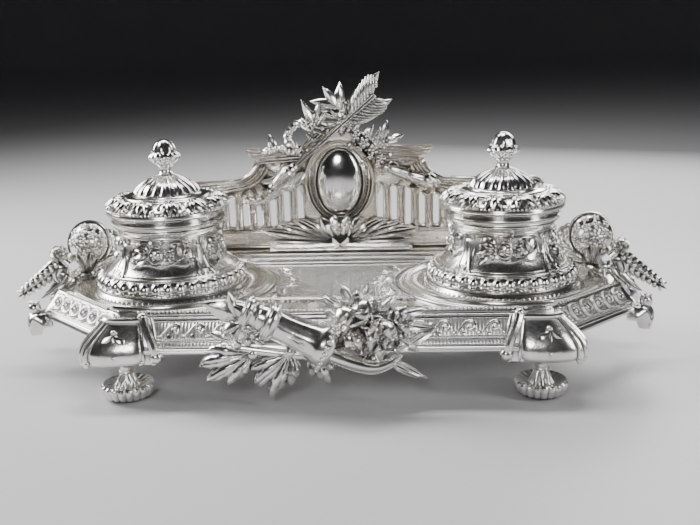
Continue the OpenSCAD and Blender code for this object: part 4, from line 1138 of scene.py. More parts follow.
@dataclass
class Gallery:
    """The pierced back gallery with its broken pediment, cartouche and palm fronds."""

    front: float = 56.5
    rear: float = 59.5
    half: float = 107.0
    rail_top: float = 85.0
    disc_z: float = 78.1
    slots: int = 10
    first_slot: float = 22.5
    slot_pitch: float = 7.8
    slot_w: float = 4.6
    slot_bottom: float = 58.5
    cart_z: float = 84.3
    hood_z: float = 89.8

    def build(self) -> None:
        """Builds and dresses every piece of the gallery."""
        self.build_panel()
        self.build_ends()
        self.build_frame()
        self.build_boss()
        self.build_palms()

    def slot_top(self, x: float) -> float:
        """Top of the opening at x."""
        return self.rail_top - (1.6 + (x - self.first_slot) * 0.18 if x < 43 else 7.8)

    def rail_path(self, share: float) -> list[tuple[float, float]]:
        """A line along the concave rail, as x and height.

        Args:
            share: 0 follows its upper edge, 1 its lower edge.

        Returns:
            Points from the end disc up to the pediment.
        """
        upper = [(102.8, 84.0), (72.0, 85.0)] + self.arc((60, 101), 15.6, 275, 200)
        lower = [(102.8, 78.3), (66.0, 78.8)] + self.arc((58, 101), 20.6, 265, 205)
        return [(between(a, c, share), between(b, d, share))
                for (a, b), (c, d) in zip(upper, lower)]

    @staticmethod
    def arc(centre: Point, radius: float, start: float, end: float,
            steps: int = 10) -> list[tuple[float, float]]:
        """Points on an arc.

        Args:
            centre: Its centre, as x and height.
            radius: Its radius.
            start: Direction of its first point, in degrees.
            end: Direction of its last point.
            steps: Pieces along it.

        Returns:
            The points, as x and height.
        """
        return [(centre[0] + radius * math.cos(math.radians(between(start, end, i / steps))),
                 centre[1] + radius * math.sin(math.radians(between(start, end, i / steps))))
                for i in range(steps + 1)]

    def build_panel(self) -> None:
        """The panel with reeded rail, cornice, hood, rimmed openings and scrolled spandrels."""
        body, trim = Form().add(copy_of("gallery")), Form()
        for share, r in ((0.1, 0.95), (0.36, 0.6), (0.62, 0.6), (0.9, 0.85)):
            for y in (55.5, 60.4):
                trim.add(wire([(x, y, z) for x, z in self.rail_path(share)], r, BACK))
        for drop, cut, r in ((0.5, 0, 0.95), (2.4, 1.2, 0.7), (3.9, 3.2, 0.5), (5.6, 5.2, 0.75),
                             (7.2, 7.0, 0.5)):
            path = [(min(x, 51.6 - cut), z - drop) for x, z in CORNICE if x < 53 - cut]
            for y in (54.4, 61.4):
                trim.add(wire([(x, y, z) for x, z in path], r, BACK))
        for r, w in ((24.3, 0.85), (22.4, 0.4)):
            hood = self.arc((0, self.hood_z), r, -6, 186, 40)
            for y in (self.front, self.rear):
                trim.add(wire([(x, y, z) for x, z in hood], w, BACK))
        trim.merge(self.openings())
        for z, r in ((56.0, 0.6), (57.0, 0.4), (47.4, 0.7), (48.8, 0.45)):
            y = self.front - 1.0 * (z > 50)
            trim.add(wire([(0, y, z), (100.6, y, z)], r, BACK))
        trim.merge(self.spandrel())
        body.merge(trim, UNIT, mirrored(-1))
        body.dressed("gallery", "dressed", SHADED_GALLERY, crease=30)

    def openings(self) -> Form:
        """Rims round the right half's openings, knops on its bars, and pierced rounds above."""
        form = Form()
        r, y = self.slot_w / 2 - 0.1, self.front
        for i in range(self.slots):
            x = self.first_slot + i * self.slot_pitch
            top, low = self.slot_top(x) - self.slot_w / 2, self.slot_bottom + self.slot_w / 2
            if x > 40:
                top -= 0.2
            rim = (self.arc((x, top), r, 0, 180, 6) + self.arc((x, low), r, 180, 360, 6)
                   + [(x + r, top)])
            form.add(wire([(a, y + 0.1, b) for a, b in rim], 0.75, BACK))
            bar = x + self.slot_pitch / 2
            mid = (low + min(top, 74)) / 2
            form.add(bead(0.8, (0.9, 0.7, 1.5), True), move(bar, y, mid), move(bar, y, top - 1.5))
            form.add(swept([(bar, y, 56.4), (bar, y, 59.4), (bar, y, 63.0)],
                           [2.5, 1.9, 0.7], [0.7, 1.3, 0.8], HALF_ROUND, FRONT))
            form.add(swept([(bar, y, mid), (bar, y, top - 2.0), (bar, y, top + 1.6)],
                           [0.8, 0.9, 2.3], [0.7, 0.9, 0.6], HALF_ROUND, FRONT))
            if 40 < x < 95:
                form.add(closed_ring(0.85, 0.6, 0.5, 14), upright(bar, y, 75.6))
        return form

    def spandrel(self) -> Form:
        """The right spandrel's scroll with its leaves."""
        form = Form()
        curl = [p + Vector((30.5, 92.4, 0)) for p in spiral(4.6, -1.4, -40)]
        run = [Vector((47.5, 84.8, 0)), Vector((42, 85.6, 0)), Vector((37, 87.4, 0))]
        path = smooth_path(run + curl, 2)
        form.add(swept([(p.x, self.front, p.y) for p in path], [0.8, 1.1, 1.0, 0.8, 0.5],
                       [0.8, 1.2, 1.0, 0.7], HALF_ROUND, FRONT))
        form.add(bead(1.1, (1, 0.8, 1), True), move(30.5, self.front, 92.4))
        for x, z, a, l in ((33, 87.5, 20, 13), (35.5, 89.5, 8, 9), (36, 85.6, -6, 11),
                           (24, 95.5, 120, 7), (36.5, 94, 62, 5.5)):
            form.add(leaf(l, 3.4, 1.3, 14, 0.4, outline=RIBBED), upright(x, self.front, z, a))
        return form

    def build_ends(self) -> None:
        """The end scrolls: a disc with a rosette on a curved foot."""
        for name, side in ENDS:
            form = Form().add(copy_of(f"gallery_end_{name}"))
            disc = Form().add(closed_ring(6.4, 1.5, 0.7, 32))
            disc.merge(blossom(3.9, 6), move(0, 0, 0.2))
            for y, turn_round in ((55.4, 0), (60.6, 180)):
                form.merge(disc, move(side * self.half, y, self.disc_z) @ turn(turn_round, "Z")
                           @ turn(90, "X"))
            edge = [(4.3, 47.2), (-1.6, 54), (3.6, 61), (5.3, 72)]
            path = smooth_path([(x, 0, z) for x, z in edge], 5)
            for dx, r in ((-0.4, 0.7), (-2.4, 0.5), (-4.2, 0.5)):
                for y in (self.front, self.rear):
                    form.add(wire([(side * (self.half + p.x + dx), y, p.z) for p in path], r, BACK))
            form.dressed(f"gallery_end_{name}", "dressed", SHADED_GALLERY, crease=30)

    def build_frame(self) -> None:
        """The cartouche's moulded oval frame."""
        ring = turned([(1 + s, h) for s, h in FRAME_SECTION] + [(1.0, 0.0)], 96)
        form = Form().add(ring)

        def oval(p: Vector) -> Vector:
            """Spreads the ring between two ovals, with a plain cove over the top.

            Args:
                p: A point of the round ring.

            Returns:
                Its place in the oval frame.
            """
            r = math.hypot(p.x, p.y)
            s, rise = r - 1, p.z
            a, b = between(13.05, 19.6, s), between(19.25, 23.1, s)
            if 0.22 < s < 0.97:
                cove = 1.2 + 2.7 * ((s - 0.5) / 0.47) ** 2
                rise = between(rise, cove, min(1, max(0, 2.6 * p.y / r)))
            return Vector((p.x / r * a, self.front - rise, self.cart_z + p.y / r * b))

        outward(form.bent(oval).bm)
        beads = 64
        for i in range(beads // 2 - 1, beads + 2):
            a = math.tau * i / beads
            form.add(bead(0.62),
                     move(15.4 * math.cos(a), self.front - 1.3, self.cart_z + 20.7 * math.sin(a)))
        form.piece("cartouche_moulding", SHADED_GALLERY, "stand", ["cartouche_frame"], 40)

    def build_boss(self) -> None:
        """The plain polished boss."""
        bm = bmesh.new()
        bmesh.ops.create_uvsphere(bm, u_segments=72, v_segments=40, radius=1)
        bmesh.ops.bisect_plane(bm, geom=bm.verts[:] + bm.edges[:] + bm.faces[:], plane_co=(0, 0, 0),
                               plane_no=BACK, clear_outer=True)
        bmesh.ops.contextual_create(bm, geom=[e for e in bm.edges if e.is_boundary])
        bmesh.ops.recalc_face_normals(bm, faces=bm.faces[:])
        form = Form().add(bm, move(0, self.front, self.cart_z) @ size(12.95, 5.5, 19.15))
        form.piece("cartouche_mirror", MIRROR, "stand", ["cartouche_boss"], 50)

    def build_palms(self) -> None:
        """The crossed palm fronds, the calyx under the cartouche and the bar that they lie on."""
        for name, side in ENDS:
            form = Form()
            for x, z, a, l, w in PALM_LEAVES:
                form.add(leaf(l, w, 1.9, -9, 1.6, 0.4, blunt=True, outline=FLUTED),
                         upright(x, 54.4, z, a + 4))
            for x, z, a, l, w in ((1.0, 52.6, 72, 14.5, 6.6), (2.2, 52.2, 50, 16.0, 6.4)):
                form.add(leaf(l, w, 2.4, 12, 2.2, -1.2, blunt=True, outline=KEELED),
                         upright(x, 51.6, z, a))
            form.add(leaf(9.5, 4.0, 1.8, 8, 1.0, outline=KEELED), upright(0.8, 51.4, 53.0, 84))
            full = Form().merge(form, mirrored(side))
            full.dressed(f"palm_{name}", "frond", CASTING)
        bar = Form().add(copy_of("palm_bar"))
        for y, z, r in ((48.4, 47.2, 0.6), (48.3, 48.3, 0.45)):
            bar.add(wire([(-39.4, y, z), (39.4, y, z)], r))
        knob = [(-1, -1), (-1, 1), (1, 1), (1, -1)]
        bar.add(swept([(0, 50.4, 50.6), (0, 48.2, 50.6), (0, 45.6, 50.6)], [4.4, 4.4, 0.5],
                      [3.7, 3.7, 0.4], knob))
        for s in SIDES:
            path = [(s * 3, 48.9, 49.6), (s * 20, 48.6, 48.8), (s * 36, 48.6, 49.2),
                    (s * 40.4, 49, 51.2)]
            bar.add(swept(path, [1.5, 1.7, 2.1, 1.0], [1.5, 1.7, 2.0, 1.0], ROUND))
        bar.piece("palm_tie_bar", CASTING, "stand", ["palm_bar"], 30)


# ---------- trophy ----------

# Radius and height of the torch.
TORCH_PROFILE = [
    (0.3, 0), (1.5, 0.2), (1.9, 1.6), (1.4, 2.4), (2.2, 3.4), (2.8, 6), (3.4, 9), (4.2, 12),
    (4.6, 13.6), (3.9, 14.6), (4.3, 15.3), (3.3, 16.2), (2.7, 17.2), (3, 18.2), (2.3, 19.4),
    (0.3, 19.6)
]
# x, z, direction and length.
TWIG_LEAVES = (
    (-41, 75, 210, 7), (-46, 73, 150, 7), (-48, 73, 250, 8), (-38, 77, 120, 5),
    (-44.5, 72.8, 285, 9), (-52, 74, 200, 6)
)
TWIG = [
    (-28, 55.4, 82.6), (-33, 55.2, 80.6), (-39, 55.2, 76.2), (-44.6, 55.3, 73), (-50, 55.3, 73.2),
    (-54.6, 55.4, 75.2)
]
RIBBON_LOOP = [
    (-12.5, 54.6, 115.4), (-17.2, 54.4, 117.2), (-22.6, 54.2, 117.2), (-27.6, 54.2, 112),
    (-27.4, 54.2, 106.4), (-22.2, 53.6, 103.6), (-20.6, 53.6, 99.6)
]
RIBBON_RUN = [
    (-21.5, 53.4, 102.2), (-27, 53.2, 101.6), (-32.5, 53.4, 103.6), (-37, 53.6, 102.4),
    (-42.8, 53.8, 102.2)
]
# x, height over the cartouche, direction, length and width.
LAUREL_LEAVES = (
    (1, 40.7, 84, 14.4, 6.6), (0, 41.7, 122, 13.5, 6), (-1, 42, 164, 14.8, 5.6),
    (4, 34.4, 76, 11, 5.4), (6, 32, 60, 12, 5), (-13.2, 32, 112, 15.4, 5.4),
    (-12.6, 32, 76, 13, 4.8), (-11.6, 31.5, 51, 10.8, 4), (2, 36, 140, 9, 6.4),
    (4.6, 37.5, 100, 8.5, 5.2), (-2, 36.5, 150, 8, 4.6), (1.5, 33, 268, 8, 6.2),
    (8.6, 28.6, 64, 10.4, 4.4), (-6, 31, 176, 9, 4.4), (-16, 30, 140, 8, 4.4)
)
# x, height over the cartouche and radius.
GARLAND_FLOWERS = (
    (9.6, 25.4, 3), (14.4, 21.6, 3.3), (19.2, 17.6, 3.3), (23.2, 12.6, 3), (24.4, 20.4, 2.9),
    (16.6, 26, 2.4), (20.4, 23.2, 2.4), (12, 18.6, 2), (17.4, 14, 2), (21.4, 9.4, 2)
)
# As the laurel's leaves.
GARLAND_LEAVES = (
    (24.3, 22, 72, 12.2, 4.4), (25, 21.8, 15, 12.2, 4.4), (26, 21, 40, 7, 3.4),
    (13.6, 24.6, 42, 9, 3.8), (21, 25, 60, 6, 3.2), (8, 22, 230, 6, 3.4), (26, 15, -20, 7, 3.6),
    (15, 12.5, 220, 6, 3.2)
)
# Radius and height of the hanging quiver.
HANGING_PROFILE = [
    (0.3, 0), (2, 0.3), (2.4, 2), (1.9, 2.8), (2.5, 4), (3, 9), (3.3, 13.4), (3.9, 13.9),
    (3.9, 15.2), (3.4, 15.7), (3.9, 19), (4.5, 22), (4, 22.8), (4.2, 23.4), (5, 24.6),
    (4.9, 26.4), (4.3, 28.6), (3.2, 28.8), (2.6, 27.4), (0.3, 27.2)
]


@dataclass
class Trophy:
    """The arrow, torch, ribbon, laurel, flowers and quiver tied round the cartouche."""

    front: float = 56.5
    shaft_y: float = 51.1
    cart_z: float = 84.3
    tail: tuple[float, float] = (-32.0, 87.3)
    angle: float = 40.5

    def build(self) -> None:
        """Builds every piece of the trophy."""
        self.build_arrow()
        self.build_torch()
        self.build_ribbon()
        self.build_laurel()
        self.build_flowers()
        self.build_quiver()

    def laid(self, along: float = 0.0, across: float = 0.0, depth: float | None = None) -> Matrix:
        """A place along the arrow, with +X up its shaft and +Z towards the front."""
        depth = self.shaft_y if depth is None else depth
        return upright(self.tail[0], depth, self.tail[1], self.angle) @ move(along, across, 0)

    def build_arrow(self) -> None:
        """A grooved shaft and two vanes of separate barbs."""
        form = Form()
        for across in (-0.72, 0.72):
            form.add(wire([(10, across, 0), (69, across, 0)], 0.74), self.laid())
        for along, depth in ((20, -5.4), (47, -3.2)):
            form.add(wire([(along, 0, 0), (along, 0, depth)], 1.0, (1, 0, 0)), self.laid())
        for side, lean, end, width in ((1, 11.5, 79.2, 9.6), (-1, 13.0, 74.6, 9.0)):
            vane = self.laid() @ size(1, side, 1)
            start = end - 27.4
            form.add(leaf(28.0, width, 1.5, 0, 0.4, outline=KEELED),
                     vane @ move(start, 1.9, -1.3) @ turn(lean, "Z"))
            for k in range(9):
                t = k / 8
                reach = 9.4 * math.sin(math.pi * between(0.2, 0.93, t)) ** 0.7
                barb = [(0, 0, 0.1), (reach * 0.5, reach * 0.6, 0.6),
                        (reach * 0.95, reach * 0.97, 0.1)]
                form.add(swept(smooth_path(barb, 3), [0.8, 1.05, 0.95, 0.3],
                               [1.2, 1.6, 1.2, 0.5], HALF_ROUND),
                         vane @ move(start + 2.2 + 18.4 * t, 0.9 + 1.6 * t * t, -0.5))
        form.piece("arrow_feathered", CASTING, "stand", ["arrow"], 40)

    def build_torch(self) -> None:
        """The torch with its ruffled cup, and the flowering twig that hangs from it."""
        stem = rippled(turned(TORCH_PROFILE, 72), 9, 0.7, 2.4, 13.6, twist=50)
        form = Form().add(stem, self.laid(-8) @ turn(90, "Y"))
        form.add(leaf(19, 9.4, 2.2, -12, 0.6, -0.4, 4, outline=CUPPED),
                 self.laid(-6, -3.4, 53.6) @ turn(-5, "Z") @ turn(14, "X"))
        form.add(wire([(-1, -1.5, 0), (-1, -1.5, -4.2)], 1.2, (1, 0, 0)), self.laid())
        ball = self.front - 2.2
        form.add(bead(2.7, fine=True), move(-26.8, ball, 82.2))
        form.merge(blossom(2.6, 5), upright(-26.8, ball - 1.2, 82.2))
        twig = smooth_path(TWIG, 6)
        form.add(wire(twig, [2.6, 2.5, 2.3, 1.8, 1.4, 0.8], BACK))
        for x, z, a, l in TWIG_LEAVES:
            form.add(leaf(l, 3.0, 1.0, 15, 0.4), upright(x, 55.9, z, a))
        form.merge(blossom(2.7, 5), upright(-46.5, 55.4, 73.4))
        form.merge(blossom(2.2, 5), upright(-53.8, 55.6, 75.2))
        form.piece("torch_and_twig", CASTING, "stand", ["torch"], 40)

    def build_ribbon(self) -> None:
        """The twisted ribbon left of the hood, running down along the cornice."""
        form = Form()
        turns = smooth_path(RIBBON_LOOP, 14)
        form.add(wire(turns, [1.4] + [2.6, 1.7] * 13 + [1.4], BACK))
        run = smooth_path(RIBBON_RUN, 14)
        form.add(wire(run, [1.6] + [2.5, 1.6] * 9 + [1.2], BACK))
        form.add(leaf(10.5, 5.2, 1.3, -22, 0.5), upright(-34.2, 54.6, 101.8, 122))
        loop = smooth_path([(-17.0, 54.8, 111.6), (-12.6, 54.9, 107.8), (-9.0, 54.9, 111.2),
                            (-13.6, 54.9, 113.4)], 6)
        form.add(wire(loop, [1.0, 1.3, 1.1], BACK))
        form.piece("ribbon_twisted", CASTING, "stand", ["ribbon"], 40)

    def build_laurel(self) -> None:
        """The laurel branch over the hood."""
        form = Form()
        z0 = self.cart_z
        for x, z, a, l, w in LAUREL_LEAVES:
            form.add(leaf(l + 2, 0.92 * w, 1.9, 8, 0.9, 0.4, outline=KEELED),
                     upright(x, self.front - 0.9, z0 + z, a) @ move(-2, 0, 0))
        for path in ([(2, 26), (1.6, 34), (0.4, 43.5)], [(6, 32), (-4, 32.6), (-14.6, 32)],
                     [(2, 40), (-5, 42.8), (-11, 40)]):
            form.add(wire(smooth_path([(x, self.front - 1.2, z0 + z) for x, z in path], 5),
                          [1.5, 1.2, 1.0], BACK))
        form.add(bead(1.2, fine=True), *(move(x, self.front - 2, z0 + z) for x, z in
                                         ((-8.4, 29.5), (-5.6, 28.2), (3, 30), (5.4, 28.4))))
        form.piece("laurel_branch", CASTING, "stand", ["laurel"], 40)

    def build_flowers(self) -> None:
        """The garland of small flowers right of the hood, with its sprigs."""
        form, chance = Form(), random.Random(7)
        for x, z, r in GARLAND_FLOWERS:
            form.merge(blossom(r, 5, 1.2),
                       upright(x, self.front - 2.1, self.cart_z + z, chance.uniform(0, 70))
                       @ turn(chance.uniform(-14, 14), "X"))
            form.add(bead(1.4, (1, 1.4, 1), True), move(x, self.front - 1.2, self.cart_z + z))
        for _ in range(16):
            t = chance.random()
            x = between(8, 24, t) + chance.uniform(-2.5, 2.5)
            z = between(26, 9, t) + chance.uniform(-2.5, 2.5)
            form.add(bead(chance.uniform(0.7, 1.1), (1, 1.5, 1)),
                     move(x, self.front - 1.2, self.cart_z + z))
        for x, z, a, l, w in GARLAND_LEAVES:
            form.add(leaf(l, w, 1.2, 10, 0.6), upright(x, self.front - 1.0, self.cart_z + z, a))
        form.piece("garland_flowers", CASTING, "stand", ["gallery_flowers"], 40)

    def build_quiver(self) -> None:
        """The small quiver that hangs right of the cartouche."""
        shape = rippled(turned(HANGING_PROFILE, 72), 10, 0.55, 4, 13.3)
        place = upright(25, self.front - 1.6, self.cart_z + 8, -19) @ turn(90, "Y")
        form = Form().add(rippled(shape, 10, 0.6, 15.8, 22), place)
        form.add(bead(0.62), *(place @ turn(24 * i, "Z") @ move(4.9, 0, 25.5) for i in range(15)))
        for a, l in ((-26, 5.0), (-8, 6.0), (12, 5.6), (30, 4.6)):
            form.add(leaf(l, 2.8, 1.0, 0, 0.4), upright(51.4, self.front - 1.4, 83.4, -19 + a))
        form.piece("hanging_quiver", CASTING, "stand", ["gallery_quiver"], 40)


# ---------- front mount ----------

# Radius and place along the axis of the front quiver.
QUIVER_PROFILE = [
    (0.3, -0.4), (1.8, 0.2), (3, 1.4), (3.6, 3.2), (4.4, 5), (6.4, 5.4), (7.6, 6.2), (7.9, 7.8),
    (7.4, 9.2), (6.4, 9.8), (6, 10.6), (6.2, 13), (6.6, 15.6), (8, 16.2), (9, 17.8),
    (9, 19.8), (8.2, 21.4), (7.2, 22.2), (7.2, 24), (7.6, 30), (8.2, 36), (8.9, 41),
    (9.6, 41.8), (10.4, 43.4), (10.6, 46.2), (10, 48.6), (9.2, 49.4), (8.4, 49.2), (7.8, 47.6),
    (7.4, 45), (0.3, 44)
]
# x, z, direction, length, width and bend.
TAIL_LEAVES = (
    (-40, 43, 155, 17, 8.6, 4), (-41, 41.5, 136, 14, 6.2, 6), (-41.6, 43, 101, 13, 4.4, -4),
    (-43, 45, 80, 8, 4, 0)
)
# x, z and radius.
TAIL_BERRIES = (
    (-38.2, 36.2, 2.5), (-41.8, 34.6, 1.8), (-36.4, 32.2, 1.9), (-41, 30.8, 1.6),
    (-34, 35, 1.6)
)
# The balls inside the bunch of roses: x, z and radius.
BUNCH = (
    (10, 30.5, 6.6), (24.5, 32.5, 6.8), (14, 44.5, 5.6), (32, 41.5, 4.8), (20, 23.5, 5.2),
    (20, 38, 6)
)
# x, z, radius, tip and turn.
ROSES = (
    (16, 34.5, 8, 8, -16), (26.4, 33.4, 6.8, -4, 26), (13, 45.2, 6.6, -32, -10),
    (22.5, 44, 5.4, -38, 14), (19.6, 25.6, 5.6, 30, 4), (33, 41, 4.8, -16, 34)
)
# x, z, direction, length, width and bend.
CURLED_LEAVES = (
    (14.6, 28.4, 100, 10.5, 4.2, 26), (18.4, 27, 84, 16, 5.2, -22),
    (22, 36, 60, 8.5, 4.6, -50), (26.4, 33, 70, 9, 5.2, 44),
    (24.2, 29.6, 60, 7, 4.4, -30), (22.4, 23.6, 84, 8.4, 4.8, 10),
    (7, 38.6, 52, 13, 5.4, -56), (3, 41, 62, 11, 5, -40),
    (11, 48.8, 20, 9.6, 4.8, -64)
)
# x, z, direction, length and width.
ROSE_LEAVES = (
    (5.6, 47.6, 150, 10, 5.4), (10.6, 49.6, 118, 9.6, 5.4), (16, 50.2, 74, 8.8, 5),
    (24, 47, 40, 9.5, 5.2), (34, 44.4, 18, 11, 4.8), (36.6, 38.6, -4, 11.8, 5.2),
    (33.4, 31.2, -28, 8.6, 5), (29, 20.8, -30, 17.4, 5.6), (45, 35.6, -150, 16, 4.8),
    (38, 31.2, -148, 12, 4.4), (3.2, 40.8, 118, 8.4, 4.6)
)
# x, depth from the quiver's axis and z.
SHELL_LIP = [
    (-16, -4.6, 34), (-10, -5.2, 31.2), (-2, -5.8, 27.6), (6, -5.8, 24.4), (13, -5.2, 21.6),
    (20, -4.4, 20), (27, -3, 21.4), (32, -1.2, 25)
]
# Root of each group of hanging leaves, and the direction and length of its lobes.
DROP_GROUPS = (
    ((-34, 26.5),
     ((176, 19), (187, 23.5), (197, 25), (208, 25), (217, 23.5), (227, 19), (239, 13))),
    ((-17, 27.4),
     ((208, 20), (219, 22.6), (230, 22.4), (242, 24.4), (253, 19), (265, 15.4), (279, 12))),
    ((-6.4, 27.6),
     ((264, 11), (279, 13), (293, 16.4), (308, 11)))
)
# x, z, direction and length.
DROP_LEAVES = (
    (-46, 32.5, 148, 9), (-45, 30, 196, 9), (-29, 30, 140, 7), (-26, 25, 262, 8),
    (-13.5, 26, 330, 9), (-39, 33, 110, 9)
)


@dataclass
class FrontMount:
    """The quiver of roses on the middle of the front edge, with its hanging leaves."""

    axis_y: float = -62.2
    tail: tuple[float, float] = (-43.0, 48.5)
    angle: float = -26.0

    def build(self) -> None:
        """Builds every piece of the mount."""
        self.build_quiver()
        self.build_roses()
        self.build_leaves()

    def laid(self) -> Matrix:
        """Lays a turned shape along the quiver's axis."""
        return upright(self.tail[0], self.axis_y, self.tail[1], self.angle) @ turn(90, "Y")

    def build_quiver(self) -> None:
        """The quiver: a tapered tail, two collars, a fluted body and a beaded mouth."""
        shape = rippled(turned(QUIVER_PROFILE, 96), 8, 0.45, 25.0, 41.0, cusped=False, twist=18)
        place = self.laid()
        form = Form().add(rippled(shape, 10, 0.5, 0.6, 5.0), place)
        beads = 24
        form.add(bead(1.15, (1, 1, 1.2)), *(place @ turn(360 / beads * i, "Z") @ move(10.4, 0, 46.4)
                                            for i in range(beads)))
        for r, z in ((7.7, 6.8), (7.7, 8.6), (6.3, 12.6), (9.0, 17.4), (9.0, 19.8)):
            form.add(hoop(r, z, 0.6, 8, 64), place)
        for x, z, a, l, w, bend in TAIL_LEAVES:
            form.add(leaf(l, w, 1.2, bend, 0.4, outline=KEELED),
                     upright(x, self.axis_y - 1.6, z, a))
        for a in (196, 226, 258):
            form.add(leaf(10, 4.6, 2.2, 14, 1.2, blunt=True, outline=KEELED),
                     upright(-37.5, self.axis_y - 4.0, 41.5, a))
        form.merge(blossom(3.6, 6, 1.3), upright(-38.6, self.axis_y - 4.4, 38.0))
        for x, z, r in TAIL_BERRIES:
            form.add(bead(r, fine=True), move(x, self.axis_y - 3.6, z))
        for d, l, w in ((-6, 20, 4.2), (4, 17, 3.6), (-15, 15, 3.4)):
            form.add(leaf(l, w, 1.1, 8, 0.6), upright(-19, self.axis_y - 6.4, 36.4, -26 + d))
        form.piece("front_quiver_cast", CASTING, "stand", ["front_quiver"], 40)

    def build_roses(self) -> None:
        """The roses, buds and leaves that spill from the mouth, and the shell lip below them."""
        form, chance = Form(), random.Random(11)
        y = self.axis_y
        for x, z, r in BUNCH:
            form.add(bead(r, (1, 0.8, 1), True), move(x, y + 1.6, z))
        for x, z, r, tip, side in ROSES:
            form.merge(rose(r), move(x, y + 0.6, z) @ turn(side, "Z") @ turn(90 + tip, "X")
                       @ turn(chance.uniform(0, 60), "Z"))
        for x, z, a, l, w, bend in CURLED_LEAVES:
            form.add(leaf(l, 1.2 * w, 3.4, bend, 1.6, -0.6, blunt=True, outline=KEELED),
                     upright(x, y - 8.0, z, a))
        for x, z, a, l, w in ROSE_LEAVES:
            form.add(leaf(l + 2, w, 2.0, chance.uniform(-16, 16), 0.9, 0.4, outline=FLUTED),
                     upright(x, y - 2.2, z, a) @ move(-2, 0, 0))
        form.add(bead(2.9, fine=True), move(45.4, y - 0.4, 36.4))
        lip = smooth_path([(x, y + depth, z) for x, depth, z in SHELL_LIP], 5)
        form.add(swept(lip, [0.6, 2.0, 2.9, 3.3, 3.3, 3.0, 2.2, 0.8],
                       [2.0, 3.2, 3.6, 3.2, 1.8], HALF_ROUND, FRONT))
        rims = [0.8, 2.0, 2.8, 3.2, 3.2, 2.8, 2.0, 1.0]
        rises = [spread(rims, i / (len(lip) - 1)) for i in range(len(lip))]
        for edge, r in ((-1, 0.9), (1, 0.6)):
            form.add(bead(r), *(move(p.x - 0.4 * edge, p.y - 0.9, p.z + edge * rise)
                                for p, rise in zip(lip, rises)))
        for _ in range(10):
            x, z = chance.uniform(4, 34), chance.uniform(22, 48)
            form.add(bead(chance.uniform(0.9, 1.4)), move(x, y - 5.2 - chance.uniform(0, 1.5), z))
        form.piece("front_rose_cluster", CASTING, "stand", ["front_roses"], 42)

    def build_leaves(self) -> None:
        """The three groups of lobed leaves that hang below the quiver."""
        form = Form()
        y = self.axis_y - 0.6
        for (x, z), lobes in DROP_GROUPS:
            for i, (a, l) in enumerate(lobes):
                form.add(leaf(l, 5.6, 3.6, (-6, 8)[i % 2], 1.2, -0.6, 3, True, HALF_ROUND),
                         upright(x, y - 0.5 * (i % 2), z, a) @ move(1.5, 0, 0))
            form.add(bead(2.4, (1, 0.8, 1), True), move(x - 0.5, y - 1.6, z - 1))
        band = [(-44, y - 0.6, 28.8), (-30, y - 0.8, 26.6), (-18, y - 0.8, 24.8),
                (-5, y - 0.8, 23.6)]
        form.add(swept(band, [1.4, 2.4, 2.4, 1.2], [1.2, 1.8, 1.8, 1.0], HALF_ROUND, FRONT))
        form.add(swept([(-43, y + 0.4, 28.8), (-24, y + 0.4, 27.0), (-6, y + 0.4, 25.0)],
                       [2.6, 3.4, 2.4], [1.6], ROUND, FRONT))
        for x, z, a, l in DROP_LEAVES:
            form.add(leaf(l, 3.8, 1.4, 16, 0.6), upright(x, y - 0.8, z, a))
        form.piece("front_leaf_drops", CASTING, "stand", ["front_leaves"], 42)


# ---------- handles ----------

# The horn's curve from its mouth, with its radius at each point.
HORN_CURVE = [
    (-0.6, 4, -0.6, 9.6), (-2.3, 8.6, -1.5, 8.5), (-8, 14.6, -3.5, 7.1), (-11.6, 17.4, -8, 5.6),
    (-8.6, 14.4, -12.2, 4.4), (-1, 8, -13.6, 3.6), (3.6, 0, -14.2, 3.1), (3, -7, -14.2, 2.6)
]
# Radius and place along the axis of its flared mouth.
BELL_PROFILE = [
    (0.3, -8.6), (8, -9), (9.2, -7.6), (10.1, -5.4), (10.9, -3.4), (12, -2.4), (12.6, -1.5),
    (12.6, -0.6), (12.1, 0.1), (11.4, 0.2), (11, -0.4), (10.8, -1.6), (0.3, -2)
]
# The same for the ground under its flowers.
HEAP_PROFILE = [
    (0.3, 4.6), (4.5, 4), (8.2, 2.6), (10.6, 0.9), (11.2, -0.6), (11, -1.4), (0.3, -1.6)
]


